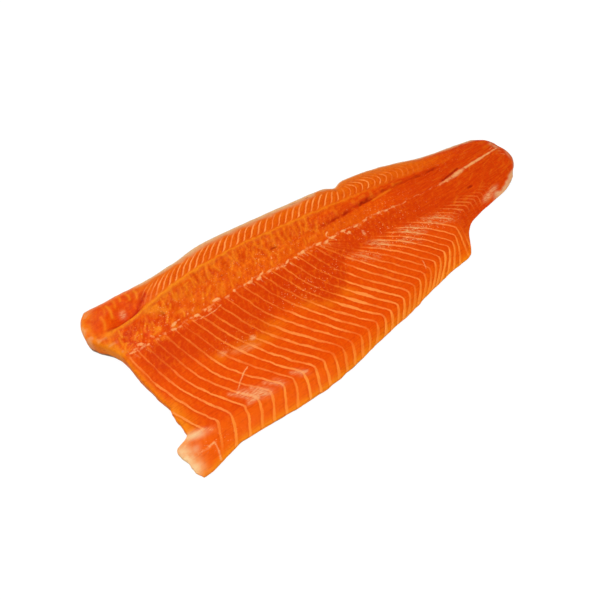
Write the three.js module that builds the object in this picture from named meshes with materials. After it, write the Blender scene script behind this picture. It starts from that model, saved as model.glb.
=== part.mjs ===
// Raw salmon fillet: one whole side of a salmon, lying skin side down, as one solid.
// Millimetres. +X runs to the tail, +Y to the back of the fish and +Z up.
// The origin is the middle of the fillet's box, on the surface that it lies on.
import * as THREE from "three";

// Heights of the flesh above the surface, at the thickest part of the fillet
const BELLY_RIM_HEIGHT = 4.5;
const FOLD_HEIGHT = 11;
const RIB_FOOT_HEIGHT = 15;
const BONE_LINE_HEIGHT = 22;
const CHANNEL_HEIGHT = 22.5;
const SEAM_HEIGHT = 27.5;
const CREST_HEIGHT = 28;
const BACK_RIM_HEIGHT = 20;

// How the ends and sides are rounded
const HEAD_SHOULDER = { width: 8, rim: 0.86 };
const TAIL_SHOULDER = { width: 16, rim: 0.5 };
const UNDERCUT = { belly: 2, tail: 4, back: 22, head: 2 };
const BACK_UNDERCUT_RUN = { start: 4, length: 75 };

// Small features: the nick in the back edge and the spoon-shaped hollow beside the seam
const NICK = { x: 51, depth: 5.5, halfWidth: 8 };
const HOLLOW = { x: -222, halfLength: 22, fromSeam: 7, towardsSeam: 4.5, towardsBack: 13, depth: 6.5 };

// Where along the fillet the width is taken that the two end curves are drawn across
const HEAD_SECTION = -240;
const TAIL_SECTION = 255;

// The mesh: steps along the fillet, across each strip between two guide lines, and down the side
const STEPS_ALONG = 64;
const STEPS_ACROSS = [5, 8, 5, 3, 3, 3, 3];
const STEPS_DOWN = 3;
const END_CLUSTERING = 0.55;
const FLESH_COLOUR = 0xe8641a;

// A smooth curve through [position, value] stations that never overshoots them.
function curveThrough(stations) {
  const last = stations.length - 1;
  const secants = stations.slice(1).map(([x, y], i) => (y - stations[i][1]) / (x - stations[i][0]));
  const slopes = stations.map((_, i) => {
    const before = secants[Math.max(i - 1, 0)];
    const after = secants[Math.min(i, last - 1)];
    return before * after <= 0 ? 0 : (2 * before * after) / (before + after);
  });
  return (position) => {
    const x = THREE.MathUtils.clamp(position, stations[0][0], stations[last][0]);
    const beyond = stations.findIndex((station) => station[0] > x);
    const k = beyond < 0 ? last - 1 : beyond - 1;
    const [x0, y0] = stations[k];
    const [x1, y1] = stations[k + 1];
    const span = x1 - x0;
    const t = (x - x0) / span;
    const rest = 1 - t;
    return (
      (1 + 2 * t) * rest * rest * y0 +
      t * rest * rest * span * slopes[k] +
      t * t * (3 - 2 * t) * y1 +
      t * t * (t - 1) * span * slopes[k + 1]
    );
  };
}

// The outline. The long edges give y at x; the ends give x at a share of the width, from belly to back.
const backLine = curveThrough([
  [-272, 97.2], [-250, 97.2], [-225, 97.8], [-203, 98.6], [-158, 105], [-110, 115], [5, 116.5],
  [84, 117], [133, 112.5], [165, 106], [235, 102], [272, 97],
]);
const bellyEdge = curveThrough([
  [-245, -119.4], [-227, -119], [-214, -115], [-203, -110.6], [-180, -105.2], [-128, -103], [-93, -99.8],
  [-58, -92.6], [0, -75.5], [32, -67.6], [62, -57.5], [100, -46], [126, -40.4], [134, -37.4], [138, -33],
  [154, -9.6], [167.5, 1.2], [203, 11.8], [230, 19.8], [240, 24.8], [248, 30.2], [256, 36.2], [272, 46],
]);
const headEnd = curveThrough([
  [0, -234.5], [0.02, -237], [0.05, -238.8], [0.085, -240.4], [0.125, -243.2], [0.158, -243.6],
  [0.172, -239], [0.184, -232.6], [0.2, -228.8], [0.245, -229],
  [0.29, -230.8], [0.328, -231.6], [0.347, -229.6], [0.365, -231.6], [0.4, -234.2], [0.45, -237.2],
  [0.58, -243], [0.677, -246.6], [0.741, -252.4], [0.78, -258.6], [0.819, -264.8], [0.862, -269.7],
  [0.888, -270], [0.915, -269.3], [0.945, -267.2], [0.975, -264], [1, -260],
]);
const tailEnd = curveThrough([
  [0, 251.5], [0.04, 256], [0.12, 262.4], [0.226, 267.8], [0.3, 270], [0.36, 270.2], [0.43, 270],
  [0.734, 264.3], [0.889, 258.5], [1, 248.6],
]);
const backEdge = (x) => backLine(x) - NICK.depth * Math.exp(-(((x - NICK.x) / NICK.halfWidth) ** 2));

// Guide lines on the flesh, y at x: the seam of the back muscle, the line of the bones, the foot of the ribs
// and the fold where the flesh turns down to the belly edge
const seam = curveThrough([
  [-272, 50], [-220, 59], [-175, 72], [-125, 82], [-75, 85.5], [50, 85], [150, 83], [272, 84],
]);
const boneLine = curveThrough([
  [-272, 24], [-200, 28], [-125, 38], [-50, 45], [25, 51], [125, 55], [200, 63], [272, 76],
]);
const ribFoot = curveThrough([
  [-272, -24], [-150, -20], [-50, 0], [50, 22], [110, 27], [180, 33], [272, 54],
]);
const fold = curveThrough([
  [-272, -81], [-190, -79.4], [-120, -78], [-75, -75.2], [-40, -70], [0, -62.3], [25, -55.5], [60, -41.8],
  [100, -26.3], [127, -15], [142, -1], [160, 14], [200, 27], [272, 46],
]);

// The fillet's thickness along its length, as a share of the thickest part
const thickness = curveThrough([
  [-272, 0.82], [-200, 0.96], [-120, 1], [0, 0.97], [80, 0.85], [150, 0.64], [200, 0.48], [272, 0.34],
]);

// The cross-section at x: the y of each guide line with the height of the flesh there.
function guidesAt(x) {
  const back = backEdge(x);
  const seamY = seam(x);
  const boneY = boneLine(x);
  return [
    [bellyEdge(x), BELLY_RIM_HEIGHT],
    [fold(x), FOLD_HEIGHT],
    [ribFoot(x), RIB_FOOT_HEIGHT],
    [boneY, BONE_LINE_HEIGHT],
    [(boneY + seamY) / 2, CHANNEL_HEIGHT],
    [seamY, SEAM_HEIGHT],
    [(seamY + back) / 2, CREST_HEIGHT],
    [back, BACK_RIM_HEIGHT],
  ];
}

// A quarter ellipse from rim, at the very edge, to 1, at the shoulder's width from it.
function shoulder({ width, rim }, distance) {
  const outside = 1 - Math.min(distance / width, 1);
  return rim + (1 - rim) * Math.sqrt(1 - outside * outside);
}

// How deep the spoon-shaped hollow is at a point.
function hollowDepth(x, y) {
  const along = (x - HOLLOW.x) / HOLLOW.halfLength;
  const beyond = y - seam(x) - HOLLOW.fromSeam;
  const across = beyond / (beyond < 0 ? HOLLOW.towardsSeam : HOLLOW.towardsBack);
  return HOLLOW.depth * Math.exp(-along * along - across * across);
}

// Steps of the way across: whole numbers are the guide lines.
function crossSteps() {
  const steps = STEPS_ACROSS.flatMap((count, strip) =>
    Array.from({ length: count }, (_, i) => strip + i / count),
  );
  return [...steps, STEPS_ACROSS.length];
}

// Shares of the way along, closer together at the two ends.
function alongSteps() {
  return Array.from({ length: STEPS_ALONG + 1 }, (_, i) => {
    const even = i / STEPS_ALONG;
    return THREE.MathUtils.lerp(even, (1 - Math.cos(Math.PI * even)) / 2, END_CLUSTERING);
  });
}

// The flesh surface at a share of the way along and a step of the way across.
function fleshPoint(along, across) {
  const strip = Math.min(Math.floor(across), STEPS_ACROSS.length - 1);
  const yAt = (x) => {
    const guides = guidesAt(x);
    return THREE.MathUtils.lerp(guides[strip][0], guides[strip + 1][0], across - strip);
  };
  const shareAt = (x) => (yAt(x) - bellyEdge(x)) / (backEdge(x) - bellyEdge(x));
  const head = headEnd(shareAt(HEAD_SECTION));
  const tail = tailEnd(shareAt(TAIL_SECTION));
  const x = THREE.MathUtils.lerp(head, tail, along);
  const y = yAt(x);
  const flesh = curveThrough(guidesAt(x))(y) * thickness(x) - hollowDepth(x, y);
  const z = flesh * shoulder(HEAD_SHOULDER, x - head) * shoulder(TAIL_SHOULDER, tail - x);
  return new THREE.Vector3(x, y, z);
}

// The rim of a grid of points, anticlockwise from above, as [grid index, side] pairs.
function rimOf(columns, rows) {
  const rim = [];
  for (let i = 0; i < columns - 1; i++) rim.push([i * rows, "belly"]);
  for (let j = 0; j < rows - 1; j++) rim.push([(columns - 1) * rows + j, "tail"]);
  for (let i = columns - 1; i > 0; i--) rim.push([i * rows + rows - 1, "back"]);
  for (let j = rows - 1; j > 0; j--) rim.push([j, "head"]);
  return rim;
}

// How far the side runs in under a rim point. Under the back it grows from each end of the fillet.
function undercutAt(point, side) {
  if (side !== "back") return UNDERCUT[side];
  const fromEnd = Math.min(point.x - headEnd(1), tailEnd(1) - point.x);
  const grown = THREE.MathUtils.smoothstep(fromEnd, 0, BACK_UNDERCUT_RUN.length);
  return THREE.MathUtils.lerp(BACK_UNDERCUT_RUN.start, UNDERCUT.back, grown);
}

// One closed surface: the flesh, the side that curves in below its rim, and the flat skin underneath.
function filletGeometry() {
  const across = crossSteps();
  const along = alongSteps();
  const rows = across.length;
  const points = along.flatMap((u) => across.map((v) => fleshPoint(u, v)));
  const faces = [];
  const quad = (a, b, c, d) => faces.push(a, b, c, a, c, d);

  for (let i = 0; i < along.length - 1; i++) {
    for (let j = 0; j < rows - 1; j++) {
      quad(i * rows + j, (i + 1) * rows + j, (i + 1) * rows + j + 1, i * rows + j + 1);
    }
  }

  const rim = rimOf(along.length, rows);
  const count = rim.length;
  let above = rim.map(([index]) => index);
  const rimPoints = above.map((index) => points[index]);
  const inwards = rimPoints.map((_, k) => {
    const run = rimPoints[(k + 1) % count].clone().sub(rimPoints[(k + count - 1) % count]);
    return new THREE.Vector3(-run.y, run.x, 0).normalize();
  });

  for (let step = 1; step <= STEPS_DOWN; step++) {
    const angle = ((Math.PI / 2) * step) / STEPS_DOWN;
    const below = rimPoints.map((rimPoint, k) => {
      const inset = undercutAt(rimPoint, rim[k][1]) * (1 - Math.cos(angle));
      const point = rimPoint.clone().addScaledVector(inwards[k], inset);
      point.z = step === STEPS_DOWN ? 0 : rimPoint.z * (1 - Math.sin(angle));
      return points.push(point) - 1;
    });
    for (let k = 0; k < count; k++) {
      const next = (k + 1) % count;
      quad(above[k], below[k], below[next], above[next]);
    }
    above = below;
  }

  const base = above.map((index) => new THREE.Vector2(points[index].x, points[index].y));
  for (const [a, b, c] of THREE.ShapeUtils.triangulateShape(base, [])) {
    faces.push(above[a], above[c], above[b]);
  }

  const geometry = new THREE.BufferGeometry().setFromPoints(points);
  geometry.setIndex(faces);
  const middle = new THREE.Box3().setFromPoints(points).getCenter(new THREE.Vector3());
  geometry.translate(-middle.x, -middle.y, 0);
  geometry.computeVertexNormals();
  return geometry;
}

const flesh = new THREE.MeshStandardMaterial({ color: FLESH_COLOUR, roughness: 0.4, metalness: 0 });
const fillet = new THREE.Mesh(filletGeometry(), flesh);
fillet.name = "fillet";

const salmonFillet = new THREE.Group();
salmonFillet.add(fillet);

export default salmonFillet;
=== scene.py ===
"""Raw salmon fillet: the looks of one whole side of salmon that lies skin side down.

Sizes are millimetres in the fillet's own frame: +X to the tail, +Y to the back of the fish and
+Z up. They become metres where a mesh, a light or the camera is made.
"""
import logging
import math
from dataclasses import dataclass
from enum import Enum

import bpy
import numpy as np
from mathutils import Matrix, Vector
from mathutils.geometry import tessellate_polygon


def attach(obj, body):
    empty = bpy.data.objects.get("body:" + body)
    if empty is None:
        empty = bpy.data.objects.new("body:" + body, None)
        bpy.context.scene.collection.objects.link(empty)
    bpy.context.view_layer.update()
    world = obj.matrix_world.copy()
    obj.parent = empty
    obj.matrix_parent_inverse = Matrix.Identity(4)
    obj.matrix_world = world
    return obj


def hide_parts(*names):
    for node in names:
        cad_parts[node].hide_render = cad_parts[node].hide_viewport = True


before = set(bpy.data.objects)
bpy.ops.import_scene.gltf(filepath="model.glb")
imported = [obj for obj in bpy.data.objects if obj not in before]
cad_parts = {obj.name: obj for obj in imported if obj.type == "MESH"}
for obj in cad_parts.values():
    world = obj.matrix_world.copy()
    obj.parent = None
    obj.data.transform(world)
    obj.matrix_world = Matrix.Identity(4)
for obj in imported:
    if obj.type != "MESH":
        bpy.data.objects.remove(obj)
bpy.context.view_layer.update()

Array = np.ndarray
Piece = bpy.types.Object
Material = bpy.types.Material
Node = bpy.types.Node
Socket = bpy.types.NodeSocket
Triple = tuple[float, float, float]
Colour = Triple
Span = tuple[float, float]
Step = tuple[float, ...]
Faces = list[tuple[int, ...]]

LOG = logging.getLogger("fillet")
MM = 0.001
BODY = "root"
NODE = "fillet"
MIDDLE = (0.0, -1.1, 0.0)
UP = np.array([0.0, 0.0, 1.0])


class Layer(Enum):
    """What is painted on a mesh, one number for each vertex."""

    FLAKE = "flake"
    PITCH = "pitch"
    FAT = "fat"
    WIDTH = "width"
    MOTTLE = "mottle"
    STRIP = "strip"
    RIB = "rib"
    SPINE = "spine"
    BAND = "band"
    TAIL = "tail"
    # Golden fat of the seam and of torn flesh, with painted highlights along ridges, the groove's lip and
    # the rope's knots.
    SEAM = "seam"
    EDGE = "edge"
    # Deep red flesh together with painted shade in hollows, creases, the groove and between lumps.
    DEEP = "deep"
    FILM = "film"
    SMEAR = "smear"
    PALE = "pale"
    FLECK = "fleck"
    RIM = "rim"
    # Painted shade in the groove, the pits and the tears.
    CRACK = "crack"
    # Painted glints: tiny pale dots that stand for highlights on the wet surface.
    SPECK = "speck"
    GIRTH = "girth"
    LATERAL = "lateral"


class Side(Enum):
    """The four sides of the fillet's rim."""

    BELLY = "belly"
    TAIL = "tail"
    BACK = "back"
    HEAD = "head"


Layers = dict[Layer, Array]
Order = list[tuple[int, int, Side]]
EDGE_LANES = {Side.BELLY: 101, Side.BACK: 201, Side.HEAD: 301, Side.TAIL: 401}


def ease(low: float, high: float, value: Array) -> Array:
    """Smooth step from 0 at low to 1 at high, which may be the smaller of the two."""
    share = np.clip((value - low) / (high - low), 0.0, 1.0)
    return share * share * (3.0 - 2.0 * share)


def bell(distance: Array, width: float) -> Array:
    """Bell of height 1 that has fallen to 1/e at the given width."""
    return np.exp(-((distance / width) ** 2))


def blend(first: Array, second: Array, share: Array) -> Array:
    """Straight mix of two values."""
    return first + (second - first) * share


def linear(red: int, green: int, blue: int) -> Colour:
    """Linear colour of a display colour whose parts run from 0 to 255."""
    knee, slope, offset, power = 0.04045, 12.92, 0.055, 2.4
    parts = (part / 255 for part in (red, green, blue))
    return tuple(p / slope if p <= knee else ((p + offset) / (1 + offset)) ** power for p in parts)


def strongest(*weights: Array) -> Array:
    """The strongest of several weights at each place."""
    return np.max(weights, axis=0)


def steady_slopes(secant: Array) -> Array:
    """Slopes at the stations of a curve that never overshoots them.

    Args:
        secant: Slope of the straight run between each two stations.

    Returns:
        The slope at each station, level wherever the runs beside it turn.
    """
    before = np.concatenate([secant[:1], secant])
    after = np.concatenate([secant, secant[-1:]])
    steady = before * after > 0
    return np.where(steady, 2 * before * after / np.where(steady, before + after, 1.0), 0.0)


def arch(t: Array, span: Array, first: Array, last: Array, leave: Array, arrive: Array) -> Array:
    """Smooth way between two stations.

    Args:
        t: Share of the way.
        span: Length of the way.
        first: Value at the start.
        last: Value at the end.
        leave: Slope at the start.
        arrive: Slope at the end.

    Returns:
        The value at each share.
    """
    rest = 1 - t
    return (
        (1 + 2 * t) * rest * rest * first
        + t * rest * rest * span * leave
        + t * t * (3 - 2 * t) * last
        + t * t * (t - 1) * span * arrive
    )


@dataclass(frozen=True)
class Curve:
    """A smooth curve through (position, value) stations that never overshoots them."""

    stations: tuple[Span, ...]

    def __call__(self, position: Array) -> Array:
        """Reads the curve, held level beyond its first and last station.

        Args:
            position: Where to read it.

        Returns:
            The curve's value at each position.
        """
        at, value = np.array(self.stations, dtype=float).T
        span = np.diff(at)
        slope = steady_slopes(np.diff(value) / span)
        x = np.clip(position, at[0], at[-1])
        k = np.clip(np.searchsorted(at, x, side="right") - 1, 0, len(span) - 1)
        t = (x - at[k]) / span[k]
        return arch(t, span[k], value[k], value[k + 1], slope[k], slope[k + 1])


@dataclass(frozen=True)
class Ramp:
    """A smooth step from the low value at its start to the high one at its end."""

    start: float
    end: float
    low: float = 0.0
    high: float = 1.0

    def __call__(self, place: Array) -> Array:
        """Reads the step."""
        return blend(self.low, self.high, ease(self.start, self.end, place))


@dataclass(frozen=True)
class Reach:
    """A stretch of the fillet that comes in over its first span and goes out over its second."""

    first: Span
    second: Span

    def __call__(self, place: Array) -> Array:
        """How far inside the stretch a place is, from 0 to 1."""
        return ease(*self.first, place) * ease(*self.second, place)


@dataclass(frozen=True)
class Bell:
    """A soft line: its width to each side and its strength."""

    width: float
    strength: float = 1.0

    def __call__(self, distance: Array) -> Array:
        """Reads the line at a distance from its middle."""
        return self.strength * bell(distance, self.width)


@dataclass(frozen=True)
class Ripple:
    """Seeded smooth noise over the plan, up and down by about its height."""

    seed: int
    cell: float
    height: float = 1.0
    lattice: int = 128

    def __call__(self, x: Array, y: Array) -> Array:
        """Reads the noise.

        Args:
            x: Places along the fillet.
            y: Places across it.

        Returns:
            The noise at each place.
        """
        heights = np.random.default_rng(self.seed).uniform(-1, 1, (self.lattice, self.lattice))
        across = np.asarray(x) / self.cell + self.lattice / 2
        up = np.asarray(y) / self.cell + self.lattice / 2
        i = np.floor(across).astype(int)
        j = np.floor(up).astype(int)
        s = ease(0, 1, across - i)
        t = ease(0, 1, up - j)

        def corner(di: int, dj: int) -> Array:
            """Height of one corner of each place's cell."""
            return heights[(i + di) % self.lattice, (j + dj) % self.lattice]

        near = blend(corner(0, 0), corner(1, 0), s)
        far = blend(corner(0, 1), corner(1, 1), s)
        return self.height * blend(near, far, t)


@dataclass(frozen=True)
class Stroke:
    """A thin mark along a line of points: a scratch, a crack or a strand."""

    points: tuple[Span, ...]
    width: float
    strength: float = 1.0

    def weight(self, x: Array, y: Array) -> Array:
        """How strongly the mark shows.

        Args:
            x: Places along the fillet.
            y: Places across it.

        Returns:
            The mark's strength at each place.
        """
        nearest = np.full(np.shape(x), np.inf)
        for (x0, y0), (x1, y1) in zip(self.points, self.points[1:]):
            dx, dy = x1 - x0, y1 - y0
            t = np.clip(((x - x0) * dx + (y - y0) * dy) / (dx * dx + dy * dy), 0, 1)
            nearest = np.minimum(nearest, np.hypot(x - x0 - t * dx, y - y0 - t * dy))
        return self.strength * bell(nearest, self.width)


@dataclass(frozen=True)
class Patch:
    """An oval mark, which ends softly where its edge is 1 and more sharply where it is higher."""

    x: float
    y: float
    length: float
    width: float
    turn: float = 0.0
    strength: float = 1.0
    edge: float = 2.0

    def weight(self, x: Array, y: Array) -> Array:
        """How strongly the mark shows.

        Args:
            x: Places along the fillet.
            y: Places across it.

        Returns:
            The mark's strength at each place.
        """
        turn = math.radians(self.turn)
        dx, dy = x - self.x, y - self.y
        along = dx * math.cos(turn) + dy * math.sin(turn)
        across = dy * math.cos(turn) - dx * math.sin(turn)
        spread = (along / self.length) ** 2 + (across / self.width) ** 2
        return self.strength * np.exp(-(spread ** self.edge))


Mark = Stroke | Patch
Marks = tuple[Mark, ...]
Threads = tuple[tuple[int, int, float, float], ...]
Ripples = tuple[Ripple, ...]


@dataclass(frozen=True)
class Plan:
    """Places on the flesh in plan, with their distances from its ends, lines and edges."""

    x: Array
    y: Array
    from_head: Array
    from_tail: Array
    off_bone: Array
    off_seam: Array
    off_fold: Array
    off_groove: Array
    to_back: Array
    to_belly: Array

    @property
    def off_rope(self) -> Array:
        """Distance from the middle of the rope of muscle between the groove and the seam."""
        return (self.off_groove + self.off_seam) / 2

    def noise(self, *ripples: Ripple) -> Array:
        """The sum of some ripples at each place."""
        return sum(ripple(self.x, self.y) for ripple in ripples)

    def marked(self, marks: Marks | list[Mark]) -> Array:
        """The strongest of several marks at each place."""
        return strongest(*(mark.weight(self.x, self.y) for mark in marks))


@dataclass(frozen=True)
class FilletForm:
    """The fillet's outline, guide lines and thickness, as the solid has them."""

    back_line: Curve = Curve((
        (-272, 97.2), (-250, 97.2), (-225, 97.8), (-203, 98.6), (-158, 105), (-110, 115), (5, 116.5),
        (84, 117), (133, 112.5), (165, 106), (235, 102), (272, 97),
    ))
    belly_edge: Curve = Curve((
        (-245, -119.4), (-227, -119), (-214, -115), (-203, -110.6), (-180, -105.2), (-128, -103),
        (-93, -99.8), (-58, -92.6), (0, -75.5), (32, -67.6), (62, -57.5), (100, -46), (126, -40.4),
        (134, -37.4), (138, -33), (154, -9.6), (167.5, 1.2), (203, 11.8), (230, 19.8), (240, 24.8),
        (248, 30.2), (256, 36.2), (272, 46),
    ))
    head_end: Curve = Curve((
        (0, -234.5), (0.02, -237), (0.05, -238.8), (0.085, -240.4), (0.125, -243.2), (0.158, -243.6),
        (0.172, -239), (0.184, -232.6), (0.2, -228.8), (0.245, -229), (0.29, -230.8), (0.328, -231.6),
        (0.347, -229.6), (0.365, -231.6), (0.4, -234.2), (0.45, -237.2), (0.58, -243), (0.677, -246.6),
        (0.741, -252.4), (0.78, -258.6), (0.819, -264.8), (0.862, -269.7), (0.888, -270),
        (0.915, -269.3), (0.945, -267.2), (0.975, -264), (1, -260),
    ))
    tail_end: Curve = Curve((
        (0, 251.5), (0.04, 256), (0.12, 262.4), (0.226, 267.8), (0.3, 270), (0.36, 270.2),
        (0.43, 270), (0.734, 264.3), (0.889, 258.5), (1, 248.6),
    ))
    seam: Curve = Curve((
        (-272, 50), (-220, 59), (-175, 72), (-125, 82), (-75, 85.5), (50, 85), (150, 83), (272, 84),
    ))
    bone: Curve = Curve((
        (-272, 24), (-200, 28), (-125, 38), (-50, 45), (25, 51), (125, 55), (200, 63), (272, 76),
    ))
    rib_foot: Curve = Curve((
        (-272, -24), (-150, -20), (-50, 0), (50, 22), (110, 27), (180, 33), (272, 54),
    ))
    fold: Curve = Curve((
        (-272, -81), (-190, -79.4), (-120, -78), (-75, -75.2), (-40, -70), (0, -62.3), (25, -55.5),
        (60, -41.8), (100, -26.3), (127, -15), (142, -1), (160, 14), (200, 27), (272, 46),
    ))
    groove: Curve = Curve((
        (-5, 67), (25, 69), (50, 72), (75, 75), (100, 77), (125, 78), (150, 78.5), (182, 81),
    ))
    groove_depth: Curve = Curve((
        (-5, 0.3), (22, 0.9), (45, 1.0), (56, 0.9), (64, 1.6), (76, 1.6), (86, 1.0), (98, 0.7),
        (112, 0.4), (138, 0.4), (150, 0.9), (164, 0.8), (180, 0),
    ))
    sinew: Curve = Curve((
        (156, 57), (175, 60), (200, 65), (225, 69), (250, 73), (260, 75),
    ))
    thickness: Curve = Curve((
        (-272, 0.82), (-200, 0.96), (-120, 1), (0, 0.97), (80, 0.85), (150, 0.64), (200, 0.48),
        (272, 0.34),
    ))
    heights: tuple[float, ...] = (4.5, 11, 15, 22, 22.5, 27.5, 28, 20)
    head_section: float = -240
    tail_section: float = 255
    head_shoulder: Span = (8, 0.86)
    tail_shoulder: Span = (16, 0.5)
    nick_x: float = 51
    nick_depth: float = 5.5
    nick_width: float = 8
    hollow_x: float = -222
    hollow_length: float = 22
    hollow_from_seam: float = 7
    hollow_widths: Span = (4.5, 13)
    hollow_depth: float = 6.5
    ragged: Ripples = (Ripple(11, 9.0, 0.35), Ripple(12, 3.5, 0.175))
    flap_ragged: Ramp = Ramp(-30, -48, 1.0, 3.2)

    def roughened(self, run: Array, side: Side) -> Array:
        """Small unevenness of a cut edge at places along it; each side has a lane of its own."""
        return sum(ripple(run, EDGE_LANES[side]) for ripple in self.ragged)

    def back_edge(self, x: Array) -> Array:
        """The back edge with its nick."""
        return self.back_line(x) - self.nick_depth * bell(x - self.nick_x, self.nick_width)

    def guides(self, x: Array) -> Array:
        """The lines that the form is drawn on, from the belly edge to the back edge.

        Args:
            x: Places along the fillet.

        Returns:
            One row of y for each line.
        """
        bone, seam, back = self.bone(x), self.seam(x), self.back_edge(x)
        return np.stack([
            self.belly_edge(x), self.fold(x), self.rib_foot(x), bone,
            (bone + seam) / 2, seam, (seam + back) / 2, back,
        ])

    def across(self, x: Array, step: float) -> Array:
        """The y at a step of the way across: whole steps are the guide lines."""
        strip = min(int(step), len(self.heights) - 2)
        guides = self.guides(x)
        return blend(guides[strip], guides[strip + 1], step - strip)

    def ends(self, step: float) -> Span:
        """Where the head end and the tail end cut a line at a step of the way across.

        Args:
            step: The step across.

        Returns:
            The x of the head end and of the tail end.
        """
        cuts = []
        for section, end, side in (
            (self.head_section, self.head_end, Side.HEAD), (self.tail_section, self.tail_end, Side.TAIL),
        ):
            x = np.array([float(section)])
            y = self.across(x, step)
            low, high = self.belly_edge(x), self.back_edge(x)
            rough = self.roughened(y, side) * self.flap_ragged(y)
            cuts.append(float((end((y - low) / (high - low)) + rough)[0]))
        return cuts[0], cuts[1]

    def plan(self, along: Array, steps: Array) -> Plan:
        """The plan of a grid on the flesh.

        Args:
            along: Shares of the way along.
            steps: Steps of the way across.

        Returns:
            The places of the grid's points.
        """
        x = np.empty((len(along), len(steps)))
        y = np.empty_like(x)
        ends = np.array([self.ends(step) for step in steps])
        for j, step in enumerate(steps):
            x[:, j] = blend(ends[j, 0], ends[j, 1], along)
            y[:, j] = self.across(x[:, j], step)
        belly_share = np.clip(1 - steps, 0, 1)
        back_share = np.clip(steps - (len(self.heights) - 2), 0, 1)
        y -= belly_share * self.roughened(x, Side.BELLY)
        y += back_share * self.roughened(x, Side.BACK)
        return Plan(
            x, y, x - ends[:, 0], ends[:, 1] - x,
            y - self.bone(x), y - self.seam(x), y - self.fold(x), y - self.groove(x),
            self.back_edge(x) - y, y - self.belly_edge(x),
        )

    def height(self, at: Plan) -> Array:
        """The height of the smooth flesh.

        Args:
            at: Places on the flesh.

        Returns:
            The height of each place above the surface that the fillet lies on.
        """
        guides = self.guides(at.x)
        level = np.array(self.heights).reshape((-1,) + (1,) * at.x.ndim)
        spans = np.diff(guides, axis=0)
        slope = steady_slopes(np.diff(level, axis=0) / spans)
        flesh = np.full(at.x.shape, float(self.heights[0]))
        for k, span in enumerate(spans):
            t = np.clip((at.y - guides[k]) / span, 0, 1)
            strip = arch(t, span, level[k], level[k + 1], slope[k], slope[k + 1])
            flesh = np.where(at.y >= guides[k], strip, flesh)
        flesh = flesh * self.thickness(at.x) - self.hollow(at)
        head = self.shoulder(self.head_shoulder, at.from_head)
        return flesh * head * self.shoulder(self.tail_shoulder, at.from_tail)

    def hollow(self, at: Plan) -> Array:
        """How deep the spoon-shaped hollow beside the seam is, steeper towards the seam."""
        near, far = self.hollow_widths
        beyond = at.off_seam - self.hollow_from_seam
        across = bell(beyond / np.where(beyond < 0, near, far), 1.0)
        return self.hollow_depth * bell(at.x - self.hollow_x, self.hollow_length) * across

    @staticmethod
    def shoulder(size: Span, distance: Array) -> Array:
        """Quarter ellipse from the rim's share, at the edge, to 1 at the shoulder's width."""
        width, rim = size
        outside = 1 - np.clip(distance / width, 0, 1)
        return rim + (1 - rim) * np.sqrt(1 - outside * outside)


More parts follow.
